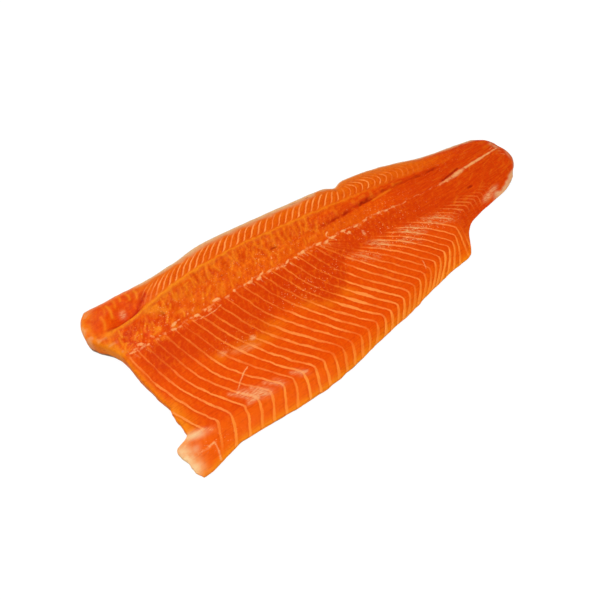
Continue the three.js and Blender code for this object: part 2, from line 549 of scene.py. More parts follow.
@dataclass(frozen=True)
class FlakePattern:
    """Counts the flakes of muscle: the fat between two flakes lies where the count is whole."""

    form: FilletForm
    pitch: Curve = Curve((
        (-240, 15), (-190, 14.8), (-100, 12.5), (0, 10.7), (60, 9.6), (130, 8.2), (200, 6.5), (272, 6),
    ))
    first_tip: float = -198.7
    tip_rise: float = 1.0
    lean: Curve = Curve((
        (0, 0), (3, 1.6), (6, 4.2), (12, 9.8), (20, 16.8), (40, 33.8), (60, 49.2), (70, 56), (80, 62),
        (90, 67), (100, 71.5), (120, 79),
    ))
    head_lean: Curve = Curve((
        (0, 0), (3, 1.8), (6, 4.6), (12, 10.5), (20, 18.3), (30, 26.6), (40, 34.4), (50, 40.6),
        (60, 45.2), (70, 49.3), (80, 53.3), (100, 60.3), (120, 66),
    ))
    head_scale: Curve = Curve(((-240, 0.6), (-200, 0.68), (-168, 0.86), (-140, 0.97), (-120, 1.0)))
    past_head: Curve = Curve(((-130, 0), (-75, 1)))
    tail_run: Curve = Curve((
        (-60, -9.3), (-50, 0), (-5, 42), (3, 49.9), (8, 55.5), (14, 63.4), (22, 77.2), (30, 94.4),
        (45, 129), (60, 160),
    ))
    tip_round: Curve = Curve(((0, 0), (3, 1.2), (6, 1.4)))
    to_tail: Curve = Curve(((55, 0), (75, 0.35), (100, 0.9), (120, 1.0)))
    hang: Curve = Curve(((0, 0), (4, 0.9), (10, 3.2), (20, 8.8), (34, 18)))
    hang_scale: Curve = Curve((
        (-240, 0.8), (-130, 0.75), (-60, 0.75), (-40, 0.9), (-15, 1.25), (10, 1.4), (40, 1.5), (108, 1.7),
        (126, 1.3), (135, 0.85), (142, 0.5), (165, 0.4),
    ))
    back_pitch: Curve = Curve(((-240, 8.8), (-100, 8.6), (0, 8.4), (100, 7.8), (150, 7), (272, 6)))
    first_back: float = -150
    rise: Curve = Curve(((0, 0), (3, 3.6), (6, 6.2), (12, 10.5), (16, 14.2), (20, 18.6), (35, 36)))
    turn: Curve = Curve((
        (0, 0), (2, 2.8), (5, 5.8), (8, 7.8), (11, 8.6), (14, 7.4), (17, 4.2), (20, 0), (35, -18),
    ))
    turned: Curve = Curve(((25, 0), (60, 1)))
    spine_lean: float = 0.8
    rounds: int = 24
    wander: Ripples = (Ripple(21, 34.0, 0.1), Ripple(22, 10.0, 0.065))

    def count(self, pitch: Curve, start: float, x: Array) -> Array:
        """Counts flakes along the fillet.

        Args:
            pitch: The spacing of the flakes along the fillet.
            start: Where the count is 0.
            x: Places to count to.

        Returns:
            The count at each place.
        """
        reach, steps = 450.0, 4501
        grid = np.linspace(-reach, reach, steps)
        total = np.cumsum(np.r_[0, np.diff(grid) / pitch((grid[1:] + grid[:-1]) / 2)])
        return np.interp(x, grid, total) - np.interp(start, grid, total)

    def belly(self, x: Array, y: Array) -> Array:
        """The count below the bones: each line of fat turns back at its tip on the fold.

        Args:
            x: Places along the fillet.
            y: Places across it.

        Returns:
            The count of flakes at each place.
        """
        tip = np.array(x, dtype=float)
        for _ in range(self.rounds):
            fold = self.form.fold(tip) + self.tip_rise
            rise = y - fold
            head = self.head_lean(rise) * self.head_scale(tip)
            tail = (self.tail_run(y) - self.tail_run(fold) - self.tip_round(rise)) * (rise > 0)
            up = blend(blend(head, self.lean(rise), self.past_head(tip)), tail, self.to_tail(tip))
            down = self.hang(-rise) * self.hang_scale(tip)
            tip = (tip + x + up + down) / 2
        return self.count(self.pitch, self.first_tip, tip)

    def back(self, x: Array, y: Array) -> Array:
        """The count above the seam: each line of fat leans to the tail, and turns near the tail.

        Args:
            x: Places along the fillet.
            y: Places across it.

        Returns:
            The count of flakes at each place.
        """
        foot = np.array(x, dtype=float)
        for _ in range(self.rounds):
            rise = y - self.form.seam(foot)
            lean = blend(self.rise(rise), self.turn(rise), self.turned(foot))
            foot = (foot + x - lean) / 2
        return self.count(self.back_pitch, self.first_back, foot)

    def spine(self, x: Array, y: Array) -> Array:
        """The count between the bones and the seam, where the lines lean to the tail."""
        return self.count(self.back_pitch, self.first_back, x - self.spine_lean * (y - self.form.bone(x)))

    def phase(self, x: Array, y: Array) -> Array:
        """The count all over the flesh, a little uneven.

        Args:
            x: Places along the fillet.
            y: Places across it.

        Returns:
            The count of flakes at each place.
        """
        low = y < self.form.bone(x)
        high = y > self.form.seam(x)
        phase = self.spine(x, y)
        phase[low] = self.belly(x[low], y[low])
        phase[high] = self.back(x[high], y[high])
        return phase + sum(ripple(x, y) for ripple in self.wander)

    def spacing(self, x: Array, y: Array, phase: Array) -> Array:
        """Spacing of the flakes across their lines.

        Args:
            x: Places along the fillet.
            y: Places across it.
            phase: The count of flakes at each place.

        Returns:
            The distance from one line of fat to the next, at each place.
        """
        step, least, most, flattest = 0.25, 3.0, 16.0, 1e-6
        slope_x = (self.phase(x + step, y) - phase) / step
        slope_y = (self.phase(x, y + step) - phase) / step
        return np.clip(1 / np.maximum(np.hypot(slope_x, slope_y), flattest), least, most)


@dataclass(frozen=True)
class Grain:
    """Noise of a finish: feature size in millimetres, detail, and stretch along axes turned in plan."""

    size: float
    detail: float = 2.0
    stretch: Triple = (1, 1, 1)
    turn: float = 0.0


class Graph:
    """Adds nodes to one material's tree and links them."""

    def __init__(self, name: str) -> None:
        """Starts a new material with a principled shader."""
        self.material = bpy.data.materials.new(name)
        self.material.use_nodes = True
        self.tree = self.material.node_tree
        self.shader = next(n for n in self.tree.nodes if n.type == "BSDF_PRINCIPLED")
        self.place = self.add("ShaderNodeTexCoord").outputs["Object"]

    def add(self, kind: str, **settings: object) -> Node:
        """Adds a node and sets its properties.

        Args:
            kind: The node's type name.
            settings: Property names and values.

        Returns:
            The new node.
        """
        node = self.tree.nodes.new(kind)
        for name, value in settings.items():
            setattr(node, name, value)
        return node

    def feed(self, socket: Socket, value: object) -> None:
        """Links a socket into an input, or sets the input to a number or colour.

        Args:
            socket: The input.
            value: Another node's output, a number, or a colour of three parts.
        """
        if isinstance(value, Socket):
            self.tree.links.new(value, socket)
        elif isinstance(value, tuple) and len(socket.default_value) == len(value) + 1:
            socket.default_value = (*value, 1.0)
        else:
            socket.default_value = value

    def layer(self, layer: Layer) -> Socket:
        """Reads a painted layer."""
        return self.add("ShaderNodeAttribute", attribute_name=layer.value).outputs["Fac"]

    def math(self, operation: str, *values: object) -> Socket:
        """Works out one sum.

        Args:
            operation: The Math node's operation.
            values: One to three sockets or numbers.

        Returns:
            The result.
        """
        node = self.add("ShaderNodeMath", operation=operation)
        for socket, value in zip(node.inputs, values):
            self.feed(socket, value)
        return node.outputs[0]

    def ease(self, value: Socket, low: float, high: float, start: float = 0.0, end: float = 1.0) -> Socket:
        """Smooth step of a value.

        Args:
            value: The socket to read.
            low: The value that gives start.
            high: The value that gives end.
            start: Result at low and below.
            end: Result at high and above.

        Returns:
            The stepped value.
        """
        node = self.add("ShaderNodeMapRange", interpolation_type="SMOOTHSTEP")
        for socket, part in zip(node.inputs, (value, low, high, start, end)):
            self.feed(socket, part)
        return node.outputs[0]

    def mix(self, first: object, second: object, share: object) -> Socket:
        """Mixes two colours.

        Args:
            first: Colour or socket where the share is 0.
            second: Colour or socket where the share is 1.
            share: Number or socket.

        Returns:
            The mixed colour.
        """
        node = self.add("ShaderNodeMix", data_type="RGBA")
        share_in, first_in, second_in, colour_out = 0, 6, 7, 2
        for place, value in ((share_in, share), (first_in, first), (second_in, second)):
            self.feed(node.inputs[place], value)
        return node.outputs[colour_out]

    def times(self, first: object, second: object) -> Socket:
        """Multiplies two sockets or numbers."""
        return self.math("MULTIPLY", first, second)

    def plus(self, base: object, value: object, share: float) -> Socket:
        """Adds a share of a value to a base."""
        return self.math("MULTIPLY_ADD", value, share, base)

    def texture(self, kind: str, vector: Socket, size: float, stretch: Triple) -> Node:
        """Adds a texture node.

        Args:
            kind: The node's type name.
            vector: The places that it is read at.
            size: Size of its features in millimetres.
            stretch: How much longer the features are along each axis.

        Returns:
            The new node.
        """
        place = self.add("ShaderNodeVectorMath", operation="DIVIDE")
        self.feed(place.inputs[0], vector)
        self.feed(place.inputs[1], stretch)
        node = self.add(kind)
        self.feed(node.inputs["Vector"], place.outputs[0])
        self.feed(node.inputs["Scale"], 1 / (size * MM))
        return node

    def noise(self, grain: Grain) -> Socket:
        """Adds noise.

        Args:
            grain: Its size, detail and direction.

        Returns:
            The noise, from 0 to 1.
        """
        turned = self.add("ShaderNodeVectorRotate", rotation_type="Z_AXIS")
        self.feed(turned.inputs["Vector"], self.place)
        self.feed(turned.inputs["Angle"], -math.radians(grain.turn))
        node = self.texture("ShaderNodeTexNoise", turned.outputs["Vector"], grain.size, grain.stretch)
        self.feed(node.inputs["Detail"], grain.detail)
        return node.outputs["Fac"]

    def cells(self, size: float, randomness: float, stretch: Triple = (1, 1, 1)) -> Node:
        """Adds cells.

        Args:
            size: Cell size in millimetres.
            randomness: From 0, a grid, to 1.
            stretch: How much longer the cells are along each axis.

        Returns:
            The node, with the outputs Distance and Color.
        """
        node = self.texture("ShaderNodeTexVoronoi", self.place, size, stretch)
        self.feed(node.inputs["Randomness"], randomness)
        return node

    def bump(self, height: Socket, depth: float, strength: float) -> None:
        """Roughens the shader's normal.

        Args:
            height: Height from 0 to 1.
            depth: Depth in millimetres that 1 stands for.
            strength: From 0 to 1.
        """
        node = self.add("ShaderNodeBump")
        self.feed(node.inputs["Strength"], strength)
        self.feed(node.inputs["Distance"], depth * MM)
        self.feed(node.inputs["Height"], height)
        self.feed(self.shader.inputs["Normal"], node.outputs["Normal"])

    def set(self, **values: object) -> None:
        """Feeds the shader's own sockets; underscores stand for spaces."""
        for name, value in values.items():
            self.feed(self.shader.inputs[name.replace("_", " ")], value)


@dataclass(frozen=True)
class FleshFinish:
    """Wet raw flesh: zones of colour, lines of fat, films and flecks, with painted shade, painted
    highlights and painted glints.
    """

    flesh: Colour = linear(233, 78, 2)
    zones: tuple[tuple[Layer, Colour], ...] = (
        (Layer.STRIP, linear(240, 92, 2)),
        (Layer.RIB, linear(213, 60, 2)),
        (Layer.SPINE, linear(228, 88, 5)),
        (Layer.BAND, linear(230, 92, 5)),
        (Layer.TAIL, linear(217, 62, 2)),
        (Layer.EDGE, linear(244, 132, 14)),
        # Deep red flesh and painted shade in hollows and creases.
        (Layer.DEEP, linear(200, 40, 1)),
    )
    fat: Colour = linear(251, 142, 62)
    gold: Colour = linear(252, 146, 48)
    shade: Colour = linear(206, 56, 2)
    light_mottle: Colour = linear(248, 122, 16)
    dark_mottle: Colour = linear(203, 50, 2)
    # Golden fat of the seam and torn flesh, also the colour of the painted highlights on ridges and knots.
    seam: Colour = linear(248, 146, 28)
    film: Colour = linear(232, 162, 98)
    smear: Colour = linear(242, 174, 116)
    pale: Colour = linear(246, 206, 152)
    fleck: Colour = linear(249, 172, 104)
    # Colour of the painted glints, the tiny highlights of the wet surface.
    glint: Colour = linear(254, 202, 132)
    rim: Colour = linear(233, 184, 130)
    # Colour of the painted shade in the groove and the pits.
    crack: Colour = linear(160, 30, 2)
    middle: Grain = Grain(6.5, 4)
    fine: Grain = Grain(1.7, 3)
    fibre: Grain = Grain(1.1, 3, (5, 1, 1))
    drawn: Grain = Grain(3.6, 2.5, (0.9, 2.0, 1), -20)
    streak: Grain = Grain(1.3, 2, (11, 1, 1), 9)
    tear: Grain = Grain(1.3, 3, (4.5, 1, 1), -36)
    mottle_shares: Span = (0.75, 0.25)
    light_step: Step = (0.48, 0.66, 0, 0.8)
    dark_step: Step = (0.5, 0.34, 0, 0.6)
    fibre_step: Step = (0.5, 0.75, 0, 0.26)
    streak_light: Step = (0.44, 0.66)
    streak_dark: Step = (0.5, 0.3)
    tail_streaks: Span = (0.1, 0.2)
    streak_depth: float = 0.3
    waver: float = 0.16
    line_ragged: float = 1.1
    line_step: Step = (0.75, -0.1)
    shade_reach: Triple = (-3.4, -1.5, -0.5)
    shade_share: float = 0.4
    gold_share: float = 0.8
    band_share: float = 0.2
    uneven: Span = (0.5, 0.9)
    smear_step: Step = (0.36, 0.58, 0.25, 1.0)
    film_step: Step = (0.45, 0.6, 0.0, 0.95)
    film_holes: Step = (0.36, 0.58, 0.3, 1.0)
    # Size and spread of the painted glints.
    glint_size: float = 2.2
    glint_stretch: Triple = (1.3, 0.9, 1.0)
    glint_step: Step = (0.3, 0.12)
    glint_zones: Step = (0.43, 0.56)
    fleck_ragged: float = 0.7
    fleck_step: Step = (0.2, 0.9, 0.0, 0.9)
    pale_step: Step = (0.3, 0.6, 0.55, 1.0)
    crack_ragged: float = 0.5
    crack_step: Step = (0.2, 1.0, 0.0, 0.85)
    wet: Span = (0.17, 0.35)
    dry_lines: float = 0.08
    grain_shares: Span = (0.4, 0.6)
    grain_depth: float = 0.5
    grain_strength: float = 0.45

    def material(self) -> Material:
        """Makes the material.

        Returns:
            The finished material.
        """
        g = Graph("wet_flesh")
        middle, fine, fibre = (g.noise(grain) for grain in (self.middle, self.fine, self.fibre))
        colour = self.mottled(g, self.zoned(g), fine, fibre)
        line, shade = self.lines(g, middle, fine)
        colour = g.mix(colour, self.shade, shade)
        colour = g.mix(colour, self.fatty(g), line)
        colour = self.covered(g, colour, middle, fine, fibre)
        coarse, small = self.grain_shares
        g.bump(g.plus(g.times(middle, coarse), fine, small), self.grain_depth, self.grain_strength)
        least, more = self.wet
        roughness = g.plus(g.plus(least, middle, more), line, self.dry_lines)
        g.set(Base_Color=colour, Roughness=roughness)
        g.set(Specular_IOR_Level=0.04, Coat_Weight=0.01, Coat_Roughness=0.08)
        return g.material

    def zoned(self, g: Graph) -> Socket:
        """Lays the zones of colour over the plain flesh."""
        colour: object = self.flesh
        for layer, tint in self.zones:
            colour = g.mix(colour, tint, g.layer(layer))
        return colour

    def mottled(self, g: Graph, colour: Socket, fine: Socket, fibre: Socket) -> Socket:
        """Mottles the flesh, most between the bones and the seam, and draws its fibres.

        Args:
            g: The material's graph.
            colour: The flesh so far.
            fine: Fine noise.
            fibre: Noise drawn out along the fillet.

        Returns:
            The mottled colour.
        """
        amount, tail = g.layer(Layer.MOTTLE), g.layer(Layer.TAIL)
        coarse, small = self.mottle_shares
        mixed = g.plus(g.times(g.noise(self.drawn), coarse), fine, small)
        colour = g.mix(colour, self.light_mottle, g.times(g.ease(mixed, *self.light_step), amount))
        colour = g.mix(colour, self.dark_mottle, g.times(g.ease(mixed, *self.dark_step), amount))
        streak = g.noise(self.streak)
        lighter, darker = self.tail_streaks
        light = g.plus(g.ease(fibre, *self.fibre_step), tail, lighter)
        dark = g.plus(self.streak_depth, tail, darker)
        colour = g.mix(colour, self.light_mottle, g.times(light, g.ease(streak, *self.streak_light)))
        return g.mix(colour, self.dark_mottle, g.times(dark, g.ease(streak, *self.streak_dark)))

    def lines(self, g: Graph, middle: Socket, fine: Socket) -> tuple[Socket, Socket]:
        """Draws the fat between the flakes.

        Args:
            g: The material's graph.
            middle: Noise that makes the lines waver.
            fine: Noise that makes their edges uneven.

        Returns:
            The share of fat, and the share of shade on the head side of each line.
        """
        half = 0.5
        count = g.plus(g.layer(Layer.FLAKE), middle, self.waver)
        turned = g.math("FRACT", g.math("ADD", count, half - self.waver / 2))
        distance = g.times(g.math("SUBTRACT", turned, half), g.layer(Layer.PITCH))
        thinnest = g.math("SUBTRACT", g.layer(Layer.WIDTH), self.line_ragged / 2)
        width = g.plus(thinnest, fine, self.line_ragged)
        beyond = g.math("SUBTRACT", g.math("ABSOLUTE", distance), width)
        fat = g.layer(Layer.FAT)
        line = g.times(g.ease(beyond, *self.line_step), fat)
        far, full, near = self.shade_reach
        side = g.times(g.ease(distance, far, full), g.ease(distance, near, full))
        return line, g.times(g.times(side, fat), self.shade_share)

    def fatty(self, g: Graph) -> Socket:
        """The fat's colour: golden in the strip and over the ribs, pale under films and at the back."""
        golden = g.times(g.math("MAXIMUM", g.layer(Layer.STRIP), g.layer(Layer.RIB)), self.gold_share)
        fat = g.mix(g.mix(self.fat, self.gold, golden), self.film, g.layer(Layer.FILM))
        return g.mix(fat, self.fleck, g.times(g.layer(Layer.BAND), self.band_share))

    def covered(self, g: Graph, colour: Socket, middle: Socket, fine: Socket, fibre: Socket) -> Socket:
        """Lays the seam and its painted highlights, films, painted glints, flecks, pale edges and the
        painted shade in cracks over the flesh.

        Args:
            g: The material's graph.
            colour: The flesh with its lines.
            middle: Noise of middle size.
            fine: Fine noise.
            fibre: Noise drawn out along the fillet.

        Returns:
            The finished colour.
        """
        least, more = self.uneven
        uneven = g.plus(least, fine, more)
        film = g.times(g.ease(g.noise(self.tear), *self.film_step), g.ease(fine, *self.film_holes))
        # Painted glints: pale dots in place of highlights on the wet surface.
        cells = g.cells(self.glint_size, 1.0, self.glint_stretch).outputs["Distance"]
        speck = g.times(g.ease(cells, *self.glint_step), g.ease(middle, *self.glint_zones))
        for layer, tint, share in (
            (Layer.SEAM, self.seam, uneven),
            (Layer.FILM, self.film, film),
            (Layer.SMEAR, self.smear, g.ease(fibre, *self.smear_step)),
            (Layer.SPECK, self.glint, speck),
        ):
            colour = g.mix(colour, tint, g.times(g.layer(layer), share))
        fleck = g.math("SUBTRACT", g.layer(Layer.FLECK), self.fleck_ragged / 2)
        torn = g.plus(fleck, fine, self.fleck_ragged)
        colour = g.mix(colour, self.fleck, g.ease(torn, *self.fleck_step))
        colour = g.mix(colour, self.rim, g.times(g.layer(Layer.RIM), uneven))
        pale = g.times(g.layer(Layer.PALE), g.ease(middle, *self.pale_step))
        colour = g.mix(colour, self.pale, pale)
        # Painted shade in the groove and the pits.
        crack = g.math("SUBTRACT", g.layer(Layer.CRACK), self.crack_ragged / 2)
        split = g.plus(crack, middle, self.crack_ragged)
        return g.mix(colour, self.crack, g.ease(split, *self.crack_step))


@dataclass(frozen=True)
class SkinFinish:
    """Scaled fish skin: pale at the belly, silver on the flank and dark at the back, with a painted sheen
    on the scales.
    """

    belly: Colour = linear(176, 170, 156)
    flank: Colour = linear(168, 172, 174)
    back: Colour = linear(74, 86, 92)
    cut: Colour = linear(168, 128, 92)
    spot: Colour = linear(24, 28, 32)
    sway: Grain = Grain(22, 3)
    sway_share: float = 0.16
    flank_step: Step = (0.18, 0.48)
    back_step: Step = (0.62, 0.95)
    scale_size: float = 3.4
    scale_order: float = 0.3
    scale_stretch: Triple = (1.25, 0.85, 1.0)
    scale_edge: Step = (0.3, 0.62, 0, 0.45)
    # Painted sheen: each scale lighter by a random share.
    scale_sheen: float = 0.35
    sheen_step: Step = (1.0, 0.4)
    spot_size: float = 21
    spot_step: Step = (0.15, 0.1)
    spot_zone: Step = (0.6, 0.75)
    lateral_share: float = 0.6
    wet: Grain = Grain(3, 2)
    wetness: Span = (0.2, 0.25)
    silver_step: Step = (0.9, 0.5, 0.1, 0.45)
    dents: Grain = Grain(9, 2)
    dent_share: float = 0.6
    scale_depth: float = 0.3
    scale_strength: float = 0.6

    def material(self) -> Material:
        """Makes the material.

        Returns:
            The finished material.
        """
        g = Graph("scaled_skin")
        girth = g.plus(g.layer(Layer.GIRTH), g.noise(self.sway), self.sway_share)
        cut = g.layer(Layer.EDGE)
        scales = g.cells(self.scale_size, self.scale_order, self.scale_stretch)
        edge = scales.outputs["Distance"]
        # Painted sheen on the scales, lighter by a random share for each.
        scale_sheen = g.times(scales.outputs["Color"], self.scale_sheen)
        spot = g.ease(g.cells(self.spot_size, 1.0).outputs["Distance"], *self.spot_step)
        colour: object = self.belly
        for tint, share in (
            (self.flank, g.ease(girth, *self.flank_step)),
            (self.back, g.ease(girth, *self.back_step)),
            (self.belly, g.times(scale_sheen, g.ease(girth, *self.sheen_step))),
            (self.back, g.ease(edge, *self.scale_edge)),
            (self.spot, g.times(spot, g.ease(girth, *self.spot_zone))),
            (self.back, g.times(g.layer(Layer.LATERAL), self.lateral_share)),
            (self.cut, cut),
        ):
            colour = g.mix(colour, tint, share)
        least, more = self.wetness
        silver = g.times(g.ease(girth, *self.silver_step), g.math("SUBTRACT", 1.0, cut))
        g.set(Base_Color=colour, Roughness=g.plus(least, g.noise(self.wet), more), Metallic=silver)
        dome = g.math("SUBTRACT", 1.0, edge)
        height = g.plus(dome, g.noise(self.dents), self.dent_share)
        g.bump(height, self.scale_depth, self.scale_strength)
        g.set(Specular_IOR_Level=0.5, Coat_Weight=0.15, Coat_Roughness=0.12)
        return g.material


@dataclass(frozen=True)
class Ring:
    """The rim of a grid of points, anticlockwise from above, and how the side leaves each point."""

    order: Order
    sides: list[Side]
    index: Array
    points: Array
    inward: Array
    run: Array
    highest: Array


@dataclass(frozen=True)
class Rim:
    """The fillet's side: how it rounds in under the rim, and how far up the skin covers it."""

    form: FilletForm
    undercuts: tuple[tuple[Side, float], ...] = (
        (Side.BELLY, 2.0), (Side.TAIL, 4.0), (Side.BACK, 22.0), (Side.HEAD, 2.0),
    )
    back_start: float = 4.0
    back_run: float = 75.0
    skin_thickness: float = 0.9
    belly_cover: float = 1.6
    end_cover: float = 1.1
    corner_cover: float = 2.6
    corner: Ramp = Ramp(34, 44)
    corner_end: Ramp = Ramp(-75, -150)
    back_cover: Curve = Curve((
        (-262, 0.45), (-215, 0.7), (-190, 0.97), (44, 0.97), (56, 0.5), (150, 0.5), (166, 0.95),
        (240, 0.9), (252, 0.6),
    ))

    def order(self, columns: int, rows: int) -> Order:
        """Goes round the rim of a grid, anticlockwise from above.

        Args:
            columns: Points along the fillet.
            rows: Points across it.

        Returns:
            The column, row and side of each rim point.
        """
        belly = [(i, 0, Side.BELLY) for i in range(columns - 1)]
        tail = [(columns - 1, j, Side.TAIL) for j in range(rows - 1)]
        back = [(i, rows - 1, Side.BACK) for i in range(columns - 1, 0, -1)]
        head = [(0, j, Side.HEAD) for j in range(rows - 1, 0, -1)]
        return belly + tail + back + head

    def along_back(self, points: Array, sides: list[Side]) -> Array:
        """How far each rim point is along the back: 0 at its ends and off it, 1 in its middle."""
        to_head = points[:, 0] - self.form.head_end(1.0)
        to_tail = self.form.tail_end(1.0) - points[:, 0]
        back = np.array([side is Side.BACK for side in sides])
        return back * ease(0, self.back_run, np.minimum(to_head, to_tail))

    def inwards(self, points: Array, sides: list[Side], reach: int) -> Array:
        """Directions in from the rim, level with the surface, and straight across along the back.

        Args:
            points: The rim's points, in order.
            sides: The side that each is on.
            reach: How many points to each side the direction is taken over.

        Returns:
            One unit direction in plan for each point.
        """
        run = np.roll(points, -reach, 0)[:, :2] - np.roll(points, reach, 0)[:, :2]
        across = np.stack([-run[:, 1], run[:, 0]], 1)
        across = across / np.linalg.norm(across, axis=1, keepdims=True)
        across = blend(across, np.array([0.0, -1.0]), self.along_back(points, sides)[:, None])
        return across / np.linalg.norm(across, axis=1, keepdims=True)

    def undercut(self, points: Array, sides: list[Side]) -> Array:
        """How far the side runs in under each rim point.

        Args:
            points: The rim's points.
            sides: The side that each is on.

        Returns:
            The run in at the foot of the side.
        """
        depth = dict(self.undercuts)
        run = np.array([self.back_start if side is Side.BACK else depth[side] for side in sides])
        return blend(run, depth[Side.BACK], self.along_back(points, sides))

    def cover(self, points: Array, sides: list[Side]) -> Array:
        """The height that the skin reaches on the side.

        Args:
            points: The rim's points.
            sides: The side that each is on.

        Returns:
            The height of the skin's edge at each point, below the rim.
        """
        corner = self.corner(points[:, 1]) * self.corner_end(points[:, 0])
        end = blend(self.end_cover, self.corner_cover, corner)
        heights = {
            Side.BELLY: np.full(len(points), self.belly_cover),
            Side.TAIL: end,
            Side.HEAD: end,
            Side.BACK: points[:, 2] * self.back_cover(points[:, 0]),
        }
        return np.array([heights[side][k] for k, side in enumerate(sides)])

    def ring(self, top: Array, reach: int) -> Ring:
        """Reads the rim of a grid of top points.

        Args:
            top: The grid.
            reach: How many rim points to each side the direction inwards is taken over.

        Returns:
            The rim; its highest is the angle on the rounded side that the skin reaches up to.
        """
        order = self.order(*top.shape[:2])
        sides = [side for _, _, side in order]
        index = np.array([i * top.shape[1] + j for i, j, _ in order])
        points = top.reshape(-1, 3)[index]
        highest = np.arcsin(np.clip(1 - self.cover(points, sides) / points[:, 2], 0, 1))
        inward, run = self.inwards(points, sides, reach), self.undercut(points, sides)
        return Ring(order, sides, index, points, inward, run, highest)


def grid_faces(columns: int, rows: int, first: int = 0, flip: bool = False) -> Faces:
    """Quads of a grid of points that is stored column by column.

    Args:
        columns: Number of columns.
        rows: Points in a column.
        first: Index of the first point.
        flip: Whether the faces look down.

    Returns:
        The quads' point indices.
    """
    faces = []
    for i in range(columns - 1):
        for j in range(rows - 1):
            a = first + i * rows + j
            quad = (a, a + rows, a + rows + 1, a + 1)
            faces.append(quad[::-1] if flip else quad)
    return faces


def ring_faces(low: Array, high: Array) -> Faces:
    """Quads between two rings of points, the first below the second as seen from outside."""
    low_next, high_next = np.roll(low, -1), np.roll(high, -1)
    return [tuple(int(k) for k in quad) for quad in zip(low, low_next, high_next, high)]


def steps_across(counts: tuple[int, ...]) -> Array:
    """Steps of the way across, with a number of even steps in each strip between guide lines."""
    strips = [strip + np.arange(count) / count for strip, count in enumerate(counts)]
    return np.r_[np.concatenate(strips), len(counts)]


def mesh_piece(name: str, points: Array, faces: Faces, layers: Layers, material: Material) -> Piece:
    """Makes a smooth-shaded mesh object with painted layers.

    Args:
        name: The piece's name.
        points: Points in millimetres.
        faces: Point indices of each face.
        layers: A number for each point, by layer.
        material: The piece's finish.

    Returns:
        The new object.
    """
    mesh = bpy.data.meshes.new(name)
    mesh.from_pydata(((points - MIDDLE) * MM).tolist(), [], faces)
    mesh.polygons.foreach_set("use_smooth", np.ones(len(mesh.polygons), dtype=bool))
    for layer, values in layers.items():
        painted = mesh.attributes.new(layer.value, "FLOAT", "POINT")
        painted.data.foreach_set("value", np.asarray(values, dtype=np.float32))
    mesh.materials.append(material)
    mesh.update()
    piece = bpy.data.objects.new(name, mesh)
    bpy.context.collection.objects.link(piece)
    return piece


